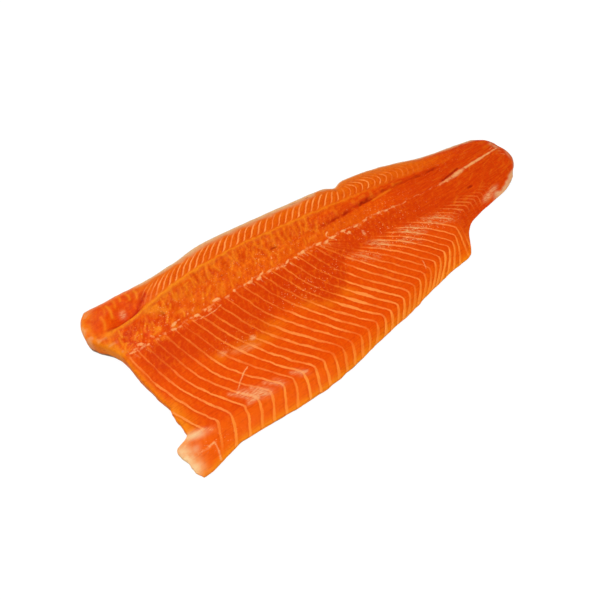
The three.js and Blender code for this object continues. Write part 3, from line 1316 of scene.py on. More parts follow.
@dataclass(frozen=True)
class FleshMarks:
    """Marks that have a place of their own on the flesh, by kind."""

    strands: Marks = (
        Stroke(((-168, 27.5), (-156, 26.3), (-146, 27), (-136, 30.5)), 0.9, 0.7),
        Stroke(((-166, -60), (-159, -52.5), (-151, -45.5), (-146, -43)), 0.9, 0.7),
        Stroke(((8, 57.5), (5.2, 55.5), (4.4, 52.5), (6, 49.6), (9.5, 48.2), (13, 48.6)), 1.0, 0.85),
        Stroke(((77, -32), (79.5, -24), (80, -21)), 0.9, 0.55),
        Stroke(((-229, -98.5), (-219, -97.5), (-210, -95.5)), 1.2, 0.7),
        Stroke(((-210, -95), (-210.5, -104), (-213, -113)), 1.4, 0.6),
        Stroke(((-236, -86), (-226, -80.5), (-214, -79), (-206, -84)), 1.6, 0.55),
        Stroke(((251, 68.5), (257, 66), (263, 62)), 1.0, 0.5),
        Stroke(((249, 76.5), (256, 79), (259, 82.5)), 0.9, 0.45),
        Stroke(((254, 72), (262, 68)), 0.9, 0.45),
        Patch(-226, 30, 4.0, 2.0, -20, 0.75), Patch(-212, 32, 3.2, 1.5, -60, 0.8),
        Patch(-187, 34, 4.6, 1.9, 25, 0.85), Patch(-163, 32, 3.6, 1.7, 0, 0.75),
        Patch(-148, 31, 3.2, 1.6, 10, 0.7), Patch(-137, 38.5, 5.0, 2.0, 0, 0.9),
    )
    smears: Marks = (
        Stroke(((-168, -63), (-160, -69), (-153, -77)), 2.2, 0.9),
        Stroke(((-154, -65), (-146, -71), (-140, -77)), 2.0, 0.75),
        Stroke(((-141, -66), (-132, -72), (-126, -77)), 1.8, 0.6),
        Stroke(((-163, -77), (-150, -75), (-141, -78)), 2.2, 0.85),
        Stroke(((-112, -70), (-104, -74.5), (-99, -76)), 1.9, 0.75),
        Stroke(((-176, -60), (-168, -66), (-160, -76)), 1.6, 0.55),
        Patch(-150, -73, 10, 5, -20, 0.95, 1.0), Patch(-162, -67, 5, 4, -45, 0.8, 1.0),
        Patch(-128, -73, 6, 3.5, -40, 0.6, 1.0), Patch(-104, -74, 6, 3, -35, 0.7, 1.0),
        Patch(190, 62.6, 12, 2.6, 14, 0.75), Patch(203, 20.5, 9, 3.6, 26, 0.75, 1.6),
        Patch(214, 25, 10, 3.4, 24, 0.66, 1.6),
        # Painted highlight: the glint inside the hollow beside the seam.
        Patch(-226, 71, 3.4, 4.2, -20, 0.75, 1.4),
        Patch(-126, -17, 3.2, 2.6, 0, 0.7), Patch(-138, -24, 14, 4, -8, 0.3),
        Patch(-160, -18, 5, 3, 0, 0.4), Patch(44, 39, 1.8, 3.2, 0, 0.7),
    )
    pales: Marks = (
        Patch(-244, -96, 12, 15, 6, 1.0, 1.2), Patch(-238, -108, 8, 8, 30, 0.9, 1.0),
        Patch(-224, -80.5, 12, 3.8, -10, 0.85, 1.0), Patch(-229, -93, 6, 4, 40, 0.4, 1.0),
    )
    films: Marks = (
        Patch(52, 20, 13, 5.5, -28, 1.0), Patch(28, 13, 16, 6, -28, 0.6),
        Patch(96, 18, 16, 7, -24, 1.0), Patch(130, 18, 20, 6.5, -20, 0.95),
        Patch(85, 8, 14, 5, -30, 0.6),
    )
    # Pits, tears and crevices with painted shade in them; the relief also sinks them.
    pits: Marks = (
        Patch(-191, 51, 2.6, 3.6, 20, 0.6), Patch(-53, 67.5, 6, 1.4, 4, 0.75),
        Patch(-118, 62.5, 7, 1.5, 6, 0.45), Patch(-136, 64, 7, 1.3, 3, 0.4),
        Patch(-206, 74, 4.5, 4.0, 40, 0.35), Patch(-199, 79, 4.0, 3.0, 0, 0.35),
        Patch(192, 40.5, 6, 1.9, 8, 0.75), Patch(-48, 113, 1.3, 3.0, 20, 0.65),
        Patch(257, 78, 2.0, 3.5, -35, 0.55), Patch(262.5, 72.5, 1.6, 3, 10, 0.5),
        Stroke(((168, 61.9), (177, 64.2), (187, 67), (196, 69.8)), 1.9, 0.95),
        Patch(-3, 112, 6, 1.8, -15, 0.6), Patch(15, 111.5, 5, 1.8, 10, 0.6),
        Stroke(((-240, 59.5), (-222, 62.5), (-208, 70), (-199, 79)), 2.4, 0.52),
    )
    # Painted shade in the spoon-shaped hollow, darkest beside the seam, with redder flesh on the head lobe.
    pockets: Marks = (
        Stroke(((-246, 58.5), (-233, 59.5), (-222, 62), (-212, 67), (-204, 74), (-198, 80)), 3.2, 1.0),
        Patch(-229, 65, 15, 6, 14, 0.55, 1.0), Patch(-201, 79, 6, 4.5, 30, 0.6, 1.0),
        Patch(-255, 76, 7, 5, 60, 0.4, 1.0), Patch(-215, 79, 10, 6, 30, 0.35, 1.0),
        Patch(-243, 84, 5, 7, 20, 0.35, 1.0), Patch(-228, 78, 6, 5, -20, 0.35, 1.0),
        Patch(-233, 92, 4, 4, 0, 0.3, 1.0), Patch(-217, 90, 3, 5, 10, 0.35, 1.0),
    )
    ridges: Marks = (
        Stroke(((-237, 72), (-235.5, 80), (-237, 90)), 1.3, 0.7),
        Stroke(((-222, 86), (-221, 92), (-222.5, 97)), 1.2, 0.6),
        Stroke(((-213, 82), (-212, 89), (-214, 95)), 1.2, 0.65),
        Stroke(((-206, 80), (-204, 87), (-205, 93)), 1.2, 0.65),
        Stroke(((-249, 62), (-246, 70), (-247, 78)), 1.6, 0.55),
        Stroke(((-262, 55), (-263, 66), (-260, 76)), 2.5, 0.3),
        # Painted highlights along the lip of the groove.
        Stroke(((77, 72.2), (90, 74), (104, 76)), 1.3, 0.4),
        Stroke(((108, 79.5), (122, 80.3)), 1.1, 0.2),
        Stroke(((-230, 81), (-228, 88), (-229, 95)), 1.2, 0.45),
        Stroke(((-243, 77), (-240, 86), (-242, 94)), 1.1, 0.35),
        # Painted highlight along the top of the seam ridge.
        Stroke(((-247, 57), (-236, 56), (-224, 57.5), (-212, 62.5), (-200, 68)), 1.4, 0.6),
        Patch(-248, 54.5, 7, 4.5, 0, 0.75, 1.0), Patch(-258, 88, 8, 7, 40, 0.3, 1.0),
    )
    goldens: Marks = (
        Patch(-125, -22, 26, 7, -4, 0.5, 1.0), Patch(-97, -14, 14, 6, -20, 0.4, 1.0),
        Patch(-55, -12, 14, 7, -25, 0.4, 1.0), Patch(-38, -20, 10, 6, -30, 0.4, 1.0),
        Patch(-12, -17, 10, 6, -35, 0.45, 1.0), Patch(-165, -20, 8, 6, 0, 0.4, 1.0),
        Patch(-225, -65, 12, 10, -60, 0.5, 1.0), Patch(-232, -114, 8, 6, 0, 0.6, 1.0),
    )
    greys: Marks = (
        Patch(266, 62, 1.6, 8, -6, 0.4, 1.0), Patch(260, 78, 4.5, 2.4, -50, 0.6, 1.0),
        Patch(257, 84, 3, 2.4, 30, 0.5, 1.0),
    )
    # Where the painted glints show: tiny highlights of the wet surface.
    glints: Marks = (
        Patch(-45, 10, 55, 13, 12, 0.6, 1.0), Patch(85, 16, 62, 11, 0, 1.0, 1.0),
        Patch(-200, 46, 45, 17, 18, 0.4, 1.0), Patch(-80, 62, 90, 13, 4, 0.42, 1.0),
        Patch(80, 38, 45, 6, 4, 0.7, 1.0), Patch(-140, -12, 30, 8, -5, 0.4, 1.0),
        Patch(-205, -95, 20, 10, 10, 0.4, 1.0), Patch(72, 61, 44, 9, 4, 0.42, 1.0),
        Patch(185, 84, 50, 12, 8, 0.2, 1.0),
    )
    streaks: Marks = (
        Patch(-4, -29, 36, 10, 12, 1.0), Patch(-90, -38, 28, 14, -48, 0.4),
    )


@dataclass(frozen=True)
class BoneFlecks:
    """White flecks of cut bone and sinew along the line of the bones."""

    form: FilletForm
    seed: int = 7
    span: Span = (-236, 112)
    head_dull: Ramp = Ramp(-60, -130, 0, 0.18)
    tail_dull: Ramp = Ramp(20, 50, 0, 0.25)
    strays: int = 60
    stray_span: Span = (-238, 50)
    thread_step: int = 4
    thread_sway: float = 1.2
    threads: Threads = (
        (-232, -99, 1.2, 0.2), (-100, 51, 1.2, 0.42), (50, 113, 1.2, 0.46), (112, 165, 1.2, 0.36),
    )
    sinews: Threads = (
        (160, 204, 2.2, 0.58), (172, 200, 3.2, 0.66), (204, 236, 2.0, 0.9), (230, 259, 1.4, 0.9),
    )

    def marks(self) -> list[Mark]:
        """Draws the flecks, the strays beside them, and the threads and sinews that run on to the tail.

        Returns:
            The marks.
        """
        draw = np.random.default_rng(self.seed)
        marks: list[Mark] = []
        place, stop = self.span
        while place < stop:
            level = float(self.form.bone(place)) + draw.normal(-0.5, 1.5)
            bright = draw.uniform(0.52, 0.9) * (1 - self.head_dull(place) - self.tail_dull(place))
            marks.append(Patch(
                place, level, length=draw.uniform(2.2, 5.0), width=draw.uniform(1.3, 2.3),
                turn=draw.uniform(-25, 40), strength=bright,
            ))
            drip, lean = draw.uniform(3, 9), 0.45
            tooth = ((place, level), (place + lean * drip, level - drip))
            marks.append(Stroke(tooth, width=1.0, strength=0.7 * bright))
            gap = draw.uniform(4.125, 10.875)
            place += gap
        for _ in range(self.strays):
            place = draw.uniform(*self.stray_span)
            level = float(self.form.bone(place)) + draw.uniform(-9, 24)
            marks.append(Patch(
                place, level, length=draw.uniform(0.9, 2.4), width=draw.uniform(0.7, 1.3),
                turn=draw.uniform(-80, 80), strength=draw.uniform(0.3, 0.7),
            ))
        for curve, sway, threads in (
            (self.form.bone, self.thread_sway, self.threads), (self.form.sinew, 0.0, self.sinews),
        ):
            for first, stop, width, strength in threads:
                places = range(first, stop, self.thread_step)
                line = tuple((a, float(curve(a)) + draw.normal(0, sway)) for a in places)
                marks.append(Stroke(line, width, strength))
        return marks


@dataclass
class Tufts:
    """Short strokes of torn flesh: pale ones, and deep red ones between them that are partly painted shade.
    """

    form: FilletForm
    seed: int = 8
    count: int = 170
    span: Span = (-242, 12)
    head_gain: Ramp = Ramp(-130, -170, 1.0, 1.6)
    lobe_span: Span = (-205, 0)
    tail_count: int = 110
    tail_span: Span = (150, 262)

    def __post_init__(self) -> None:
        """Starts the seeded draw and the two kinds of strokes."""
        self.draw = np.random.default_rng(self.seed)
        self.pale: list[Mark] = []
        # Deep red strokes, partly painted shade between the pale ones.
        self.deep: list[Mark] = []

    def weights(self, at: Plan) -> tuple[Array, Array]:
        """Draws the strokes.

        Args:
            at: Places on the flesh.

        Returns:
            How strongly the pale strokes and the deep red ones show at each place.
        """
        self.torn()
        self.lobes()
        self.tail()
        return at.marked(self.pale), at.marked(self.deep)

    def add(self, pale: bool, foot: Span, slant: float, length: float, strength: float) -> None:
        """Adds a bent stroke that rises from its foot.

        Args:
            pale: Whether it is pale or deep red.
            foot: Where it starts.
            slant: Its angle from the fillet's length, in degrees.
            length: Its length.
            strength: How strongly it shows.
        """
        run, rise = length * math.cos(math.radians(slant)), length * math.sin(math.radians(slant))
        bend = self.draw.normal(0, 0.12 * length)
        middle = (foot[0] + run / 2 + bend, foot[1] + rise / 2)
        points = (foot, middle, (foot[0] + run, foot[1] + rise))
        kind = self.pale if pale else self.deep
        kind.append(Stroke(points, width=self.draw.uniform(0.7, 1.3), strength=strength))

    def torn(self) -> None:
        """Adds the strokes between the bones and the seam."""
        draw, above_bone, below_seam = self.draw, 1, 7
        for _ in range(self.count):
            place = draw.uniform(*self.span)
            low, high = float(self.form.bone(place)) + above_bone, float(self.form.seam(place)) - below_seam
            foot = place, blend(low, high, draw.uniform(0, 1))
            pale = draw.random() < 0.6
            strength = draw.uniform(0.2, 0.5) if pale else draw.uniform(0.1, 0.28)
            strength = strength * self.head_gain(place)
            self.add(pale, foot, slant=draw.normal(68, 20), length=draw.uniform(4, 10), strength=strength)

    def lobes(self) -> None:
        """Adds the lobes that hang from the seam: pale drips with deep red pockets between them, and
        painted shade in the creases at their feet.
        """
        draw = self.draw
        place, stop = self.lobe_span
        while place < stop:
            seam, drop = float(self.form.seam(place)), draw.uniform(13.5, 19.8)
            low, sway, lean = seam - drop, draw.normal(0, 2.0), draw.normal(-2, 2.5)
            drip = (place, seam - 1), (place + sway, seam - drop / 2), (place + lean, low)
            self.pale.append(Stroke(drip, width=draw.uniform(0.8, 1.4), strength=draw.uniform(0.25, 0.65)))
            step = draw.uniform(7.15, 14.3)
            self.deep.append(Patch(
                place + step / 2 - 1, seam - 0.62 * drop, length=0.36 * step, width=5.0, turn=8,
                strength=draw.uniform(0.28, 0.55), edge=1.2,
            ))
            if draw.random() < 0.55:
                foot = (place, low), (place + step / 2, low - 1), (place + step, low)
                self.deep.append(Stroke(foot, width=1.1, strength=draw.uniform(0.3, 0.6)))
            place += step

    def tail(self) -> None:
        """Adds the long fibres of the tail, which slant more below the sinew than above it."""
        draw, clear = self.draw, 3
        for _ in range(self.tail_count):
            place = draw.uniform(*self.tail_span)
            low = float(self.form.belly_edge(place)) + clear
            high = float(self.form.back_edge(place)) - clear
            foot = place, blend(low, high, draw.uniform(0, 1))
            slant = draw.normal(30, 9) if foot[1] < self.form.sinew(place) else draw.normal(5, 6)
            pale = draw.random() < 0.55
            self.add(pale, foot, slant, length=draw.uniform(6, 16), strength=draw.uniform(0.06, 0.22))


@dataclass(frozen=True)
class FleshPaint:
    """Paints the flesh: a layer for each zone of colour, and for its lines, films and marks."""

    form: FilletForm
    marks: FleshMarks = FleshMarks()
    seed: int = 7
    rib_edge: Curve = Curve((
        (-245, -12), (-200, -9), (-165, -15), (-138, -21), (-113, -18), (-98, -8), (-75, -4),
        (-52, -10), (-32, -21), (-15, -16), (-6, -6), (2, 10), (15, 22), (50, 26), (140, 28),
        (200, 33), (272, 50),
    ))
    rib_fat: Curve = Curve((
        (-240, 0.5), (-180, 0.46), (-110, 0.36), (-20, 0.32), (8, 0.26), (25, 0.12), (40, 0.05),
    ))
    tail_fat: Curve = Curve(((138, 1.0), (150, 0.85), (185, 0.7), (205, 0.2), (225, 0)))
    back_fat: Curve = Curve((
        (-205, 0), (-185, 0.75), (-160, 1.08), (20, 1.05), (60, 0.8), (105, 0.66), (130, 0.45), (150, 0.2),
        (170, 0),
    ))
    seam_pale: Curve = Curve((
        (-258, 0.2), (-238, 0.8), (-150, 0.8), (-60, 0.65), (20, 0.5), (60, 0.3), (105, 0.1), (140, 0),
    ))
    torn: Ripple = Ripple(32, 7.0)
    patchy: Ripple = Ripple(31, 24.0)
    bone_torn: float = 3
    bone_fade: Ramp = Ramp(5, -7)
    seam_fade: Ramp = Ramp(-2, 3)
    rib_torn: float = 5
    rib_fade: Ramp = Ramp(-9, 9)
    rib_shares: Span = (0.9, 0.2)
    rib_head: Ramp = Ramp(-246, -212)
    strip_fade: Ramp = Ramp(3, -6)
    strip_tail: Ramp = Ramp(170, 120)
    spine_reach: Reach = Reach((-220, -160), (110, 30))
    band_head: Ramp = Ramp(-222, -192)
    band_tail: Ramp = Ramp(230, 150)
    tail_start: Ramp = Ramp(70, 140)
    tail_low: Ramp = Ramp(24, 32)
    tail_whole: Ramp = Ramp(140, 158)
    seam_width: Ramp = Ramp(-120, -180, 1.3, 2.4)
    seam_torn: Ripples = (Ripple(32, 7.0, 0.9), Ripple(37, 3.2, 0.9))
    rope: Bell = Bell(5.5)
    rope_reach: Reach = Reach((-15, 10), (150, 110))
    rope_bare: float = 0.9
    rope_red: float = 0.14
    # The rope's knots, the same as the relief's: painted highlights where they rise and painted shade
    # between them.
    knots: Ripple = Ripple(43, 5.0)
    knot_highlight: Ramp = Ramp(0.1, 0.6, 0, 0.26)
    knot_shade: Ramp = Ramp(-0.1, -0.6, 0, 0.3)
    lumps: Ripple = Ripple(59, 7.5)
    lumps_head: Ramp = Ramp(-140, -195)
    lump_gold: Ramp = Ramp(-0.1, -0.7, 0, 0.6)
    lump_red: Ramp = Ramp(0.0, 0.7, 0.1, 0.52)
    gap: Bell = Bell(3.2)
    gap_off: float = 0.3
    gap_red: Ramp = Ramp(95, 70, 0.2, 0.75)
    gap_reach: Reach = Reach((-10, 4), (190, 172))
    back_head: Ramp = Ramp(-215, -190)
    back_gold: Bell = Bell(12.0, 0.6)
    back_gold_tail: Ramp = Ramp(175, 140)
    belly_gold: Bell = Bell(4.6)
    belly_gold_tail: Ramp = Ramp(172, 120)
    head_rim: Bell = Bell(4.5, 0.75)
    flap_rim: Bell = Bell(11.0)
    flap_start: Ramp = Ramp(-28, -50)
    lobe_rim: Bell = Bell(8.0, 0.6)
    lobe_start: Ramp = Ramp(15, 45)
    lobe_uneven: Ripple = Ripple(44, 5.0)
    speck_rim: Bell = Bell(9.0)
    speck_start: Ramp = Ramp(12, 40)
    speck_noise: Ripple = Ripple(45, 4.0)
    speck_pale: Ramp = Ramp(0.15, 0.75, 0, 0.45)
    cut_rim: Bell = Bell(2.6, 0.45)
    cut_corner: Ramp = Ramp(50, 75, 0, 0.3)
    tail_fat_torn: float = 2
    tail_fat_width: Ramp = Ramp(7.0, 2.5, 0, 0.8)
    tail_fat_reach: Reach = Reach((203, 218), (270, 258))
    pale_width: Curve = Curve((
        (-215, 0), (-200, 5), (-160, 9), (-125, 13), (-100, 13), (-70, 12.5), (-20, 13), (10, 11),
        (22, 10), (31, 3), (38, 7), (46, 5), (58, 2.4), (150, 3), (170, 4), (240, 4.5), (262, 3),
    ))
    pale_full: float = 1.15
    pale_torn: float = 0.3
    pale_least: float = 0.3
    pale_power: float = 1.3
    gape: Bell = Bell(2.0)
    gape_wide: Ripple = Ripple(41, 8.0)
    gape_fine: Ripple = Ripple(42, 3.4)
    gape_sway: float = 0.9
    gape_dark: Triple = (0.15, 0.45, 0.3)
    gape_reach: Reach = Reach((-8, 8), (186, 174))
    fleck_uneven: Ripple = Ripple(38, 4.0, 0.35)
    mottle_least: float = 0.22
    mottle_zones: float = 0.15
    mottle_head: Ramp = Ramp(60, -30, 0, 0.35)
    mottle_tail: Ramp = Ramp(140, 80, 0, 0.15)
    mottle_patchy: float = 0.3
    mottle_calm: float = 0.6
    line_width: float = 0.6
    line_uneven: Ripple = Ripple(34, 9.0, 0.3)
    zone_thinner: float = 0.2
    strip_wider: float = 0.4
    streak_wider: float = 0.8
    tail_thinner: Span = (0.22, 0.16)
    thin_start: Ramp = Ramp(20, 90)
    fat_start: Ramp = Ramp(-1.0, -4.0)
    fat_full: float = 0.86
    strip_fat: float = 0.85
    head_fat: Ramp = Ramp(-150, -200, 0, 0.5)
    head_fat_low: Ramp = Ramp(-30, 6)
    tip_fade: Bell = Bell(7.0, 0.5)
    tip_above: float = 3
    tip_reach: Reach = Reach((-105, -65), (25, -5))
    bare_share: float = 0.93
    bare_rib: Ramp = Ramp(-2, 7)
    bare_rib_head: Ramp = Ramp(5, 25)
    bare_tail: Ramp = Ramp(138, 150)
    bare_tail_low: Ramp = Ramp(24, 10)
    bare_flap: Ramp = Ramp(-198, -212)
    bare_flap_low: Ramp = Ramp(2, -3)
    back_fat_low: Ramp = Ramp(1.5, 4.5)
    back_fat_high: Ramp = Ramp(9, 16)
    spine_fat: float = 0.07
    spine_fat_low: Ramp = Ramp(2, 6)
    spine_fat_high: Ramp = Ramp(-2, -6)
    spine_fat_tail: Ramp = Ramp(60, 0)
    line_gain: Span = (0.62, 1.12)
    line_gains: int = 512
    fat_uneven: Ripples = (Ripple(35, 17.0, 0.28), Ripple(36, 6.0, 0.34))
    streak_gain: float = 0.35
    film_gain: float = 0.3

    def painted(self, at: Plan, phase: Array) -> Layers:
        """Paints the layers on the top of the flesh.

        Args:
            at: Places on the flesh.
            phase: The count of flakes.

        Returns:
            The layers, each as a grid.
        """
        x, y, marks = at.x, at.y, self.marks
        torn, patchy = at.noise(self.torn), at.noise(self.patchy)
        below = self.bone_fade(at.off_bone + self.bone_torn * torn)
        above = self.seam_fade(at.off_seam + torn)
        spine = (1 - below) * (1 - above)
        least, more = self.rib_shares
        rib = below * self.rib_fade(y - self.rib_edge(x) + self.rib_torn * torn) * self.rib_head(x)
        band = above * self.band_tail(x)
        tail = np.maximum(self.tail_start(x) * self.tail_low(y), self.tail_whole(x))
        rope = self.rope(at.off_rope) * self.rope_reach(x)
        # The red band along the groove: deep red flesh with painted shade.
        gap = self.gap_red(x) * self.gap(at.off_groove - self.gap_off) * self.gap_reach(x)
        lumpy, lumps = spine * self.lumps_head(x), at.noise(self.lumps)
        knots = rope * at.noise(self.knots)
        seam_line = bell(at.off_seam - at.noise(*self.seam_torn), self.seam_width(x))
        pale_tufts, deep_tufts = Tufts(self.form).weights(at)
        layers = {
            Layer.STRIP: self.strip_fade(at.off_fold) * self.strip_tail(x),
            Layer.RIB: np.clip(rib * (least + more * patchy), 0, 1),
            Layer.SPINE: spine * self.spine_reach(x) * (1 - self.rope_bare * rope),
            Layer.BAND: band * self.band_head(x),
            Layer.TAIL: tail * (1 - band),
            # Golden fat with painted highlights on ridges and the rope's knots.
            Layer.SEAM: strongest(
                self.seam_pale(x) * seam_line, pale_tufts, at.marked(marks.ridges),
                lumpy * self.lump_gold(lumps), self.knot_highlight(knots),
            ),
            Layer.EDGE: self.golden_edges(at),
            # Deep red flesh and painted shade: the hollow, the rope and groove bands, between the knots and
            # lumps, and the deep red tufts.
            Layer.DEEP: strongest(
                at.marked(marks.pockets), self.rope_red * rope, gap, deep_tufts,
                lumpy * self.lump_red(lumps), self.knot_shade(knots),
            ),
            Layer.FILM: at.marked(marks.films),
            Layer.SMEAR: at.marked(marks.smears),
            Layer.PALE: at.marked(marks.pales),
            Layer.FLECK: self.flecks(at),
            Layer.RIM: self.pale_edges(at, torn),
            # Painted shade in the gaping groove and the pits.
            Layer.CRACK: strongest(self.gaping(at), at.marked(marks.pits)),
            # Painted glints, the tiny highlights of the wet surface.
            Layer.SPECK: at.marked(marks.glints),
        }
        calm = 1 - self.mottle_calm * layers[Layer.TAIL]
        mottle = self.mottle_least + self.mottle_zones * (layers[Layer.RIB] + above)
        mottle = mottle + spine * (self.mottle_head(x) + self.mottle_tail(x))
        layers[Layer.MOTTLE] = np.clip(mottle * (1 + self.mottle_patchy * patchy) * calm, 0, 1)
        layers[Layer.FAT] = self.fat(at, layers, phase, spine)
        layers[Layer.WIDTH] = self.widths(at, layers, above)
        return layers

    def widths(self, at: Plan, layers: Layers, above: Array) -> Array:
        """Half the width of the lines of fat.

        Args:
            at: Places on the flesh.
            layers: The zones painted so far.
            above: Share of the zone above the seam.

        Returns:
            The half width at each place.
        """
        width = self.line_width + at.noise(self.line_uneven)
        width += self.streak_wider * at.marked(self.marks.streaks) + self.strip_wider * layers[Layer.STRIP]
        width -= self.zone_thinner * (layers[Layer.RIB] + above)
        return width - blend(*self.tail_thinner, above) * self.thin_start(at.x)

    def fat(self, at: Plan, layers: Layers, phase: Array, spine: Array) -> Array:
        """How strongly the fat shows between the flakes.

        Args:
            at: Places on the flesh.
            layers: The zones painted so far.
            phase: The count of flakes.
            spine: Share of the zone between the bones and the seam.

        Returns:
            The strength, from 0 to 1.
        """
        x, y = at.x, at.y
        belly = self.fat_start(at.off_bone) * blend(self.fat_full, self.rib_fat(x), layers[Layer.RIB])
        belly = belly * blend(1.0, self.strip_fat, layers[Layer.STRIP])
        belly = belly * (1 - self.head_fat_low(y) * self.head_fat(x)) * self.tail_fat(x)
        tips = self.tip_fade(at.off_fold - self.tip_above) * self.tip_reach(x)
        bare = strongest(
            self.bare_rib(y - self.rib_edge(x)) * self.bare_rib_head(x),
            self.bare_tail_low(y) * self.bare_tail(x),
            self.bare_flap(x) * self.bare_flap_low(at.off_fold),
        )
        belly = belly * (1 - tips) * (1 - self.bare_share * bare)
        back = self.back_fat_low(at.off_seam) * self.back_fat_high(at.to_back) * self.back_fat(x)
        inner = self.spine_fat_low(at.off_bone) * self.spine_fat_high(at.off_seam) * self.spine_fat_tail(x)
        gains = np.random.default_rng(self.seed).uniform(*self.line_gain, self.line_gains)
        gain = gains[np.round(phase).astype(int) % self.line_gains] * (1 + at.noise(*self.fat_uneven))
        lit = 1 + self.streak_gain * at.marked(self.marks.streaks) + self.film_gain * layers[Layer.FILM]
        return np.clip((belly + back + self.spine_fat * spine * inner) * gain * lit, 0, 1)

    def flecks(self, at: Plan) -> Array:
        """How strongly white flecks, strands and sinews show."""
        shown = at.marked([*BoneFlecks(self.form).marks(), *self.marks.strands])
        return np.clip(shown * (1 + at.noise(self.fleck_uneven)), 0, 1)

    def golden_edges(self, at: Plan) -> Array:
        """How strongly the golden fat along the edges shows."""
        lobe = self.lobe_rim(at.from_head) * self.lobe_start(at.y)
        return strongest(
            self.back_gold(at.to_back) * self.back_head(at.x) * self.back_gold_tail(at.x),
            self.belly_gold(at.to_belly) * self.belly_gold_tail(at.x),
            self.flap_rim(at.from_head) * self.flap_start(at.y),
            lobe * (1 + at.noise(self.lobe_uneven)),
            self.head_rim(at.from_head),
            at.marked(self.marks.goldens),
        )

    def pale_edges(self, at: Plan, torn: Array) -> Array:
        """The pale cut edges of fat and skin, widest along the back.

        Args:
            at: Places on the flesh.
            torn: Noise that makes their width uneven.

        Returns:
            How strongly they show.
        """
        width = np.maximum(self.pale_width(at.x) * (1 + self.pale_torn * torn), self.pale_least)
        back = np.clip(self.pale_full - at.to_back / width, 0, 1) ** self.pale_power * self.back_head(at.x)
        specks = self.speck_pale(at.noise(self.speck_noise)) * self.speck_start(at.y)
        tail = self.tail_fat_width(at.to_belly + self.tail_fat_torn * torn)
        return strongest(
            back,
            tail * self.tail_fat_reach(at.x),
            specks * self.speck_rim(at.from_head),
            self.cut_rim(at.from_tail),
            self.cut_rim(at.to_back),
            self.cut_rim(at.from_head) * self.cut_corner(at.y),
            at.marked(self.marks.greys),
        )

    def gaping(self, at: Plan) -> Array:
        """The painted shade in the groove where the muscle gapes beside the seam.

        Args:
            at: Places on the flesh.

        Returns:
            How dark the painted shade is at each place.
        """
        uneven = at.noise(self.gape_wide)
        off_groove = at.off_groove - self.gape_sway * (uneven + at.noise(self.gape_fine))
        least, deep, change = self.gape_dark
        dark = np.clip(least + deep * self.form.groove_depth(at.x) + change * uneven, 0, 1)
        return self.gape(off_groove) * dark * self.gape_reach(at.x)


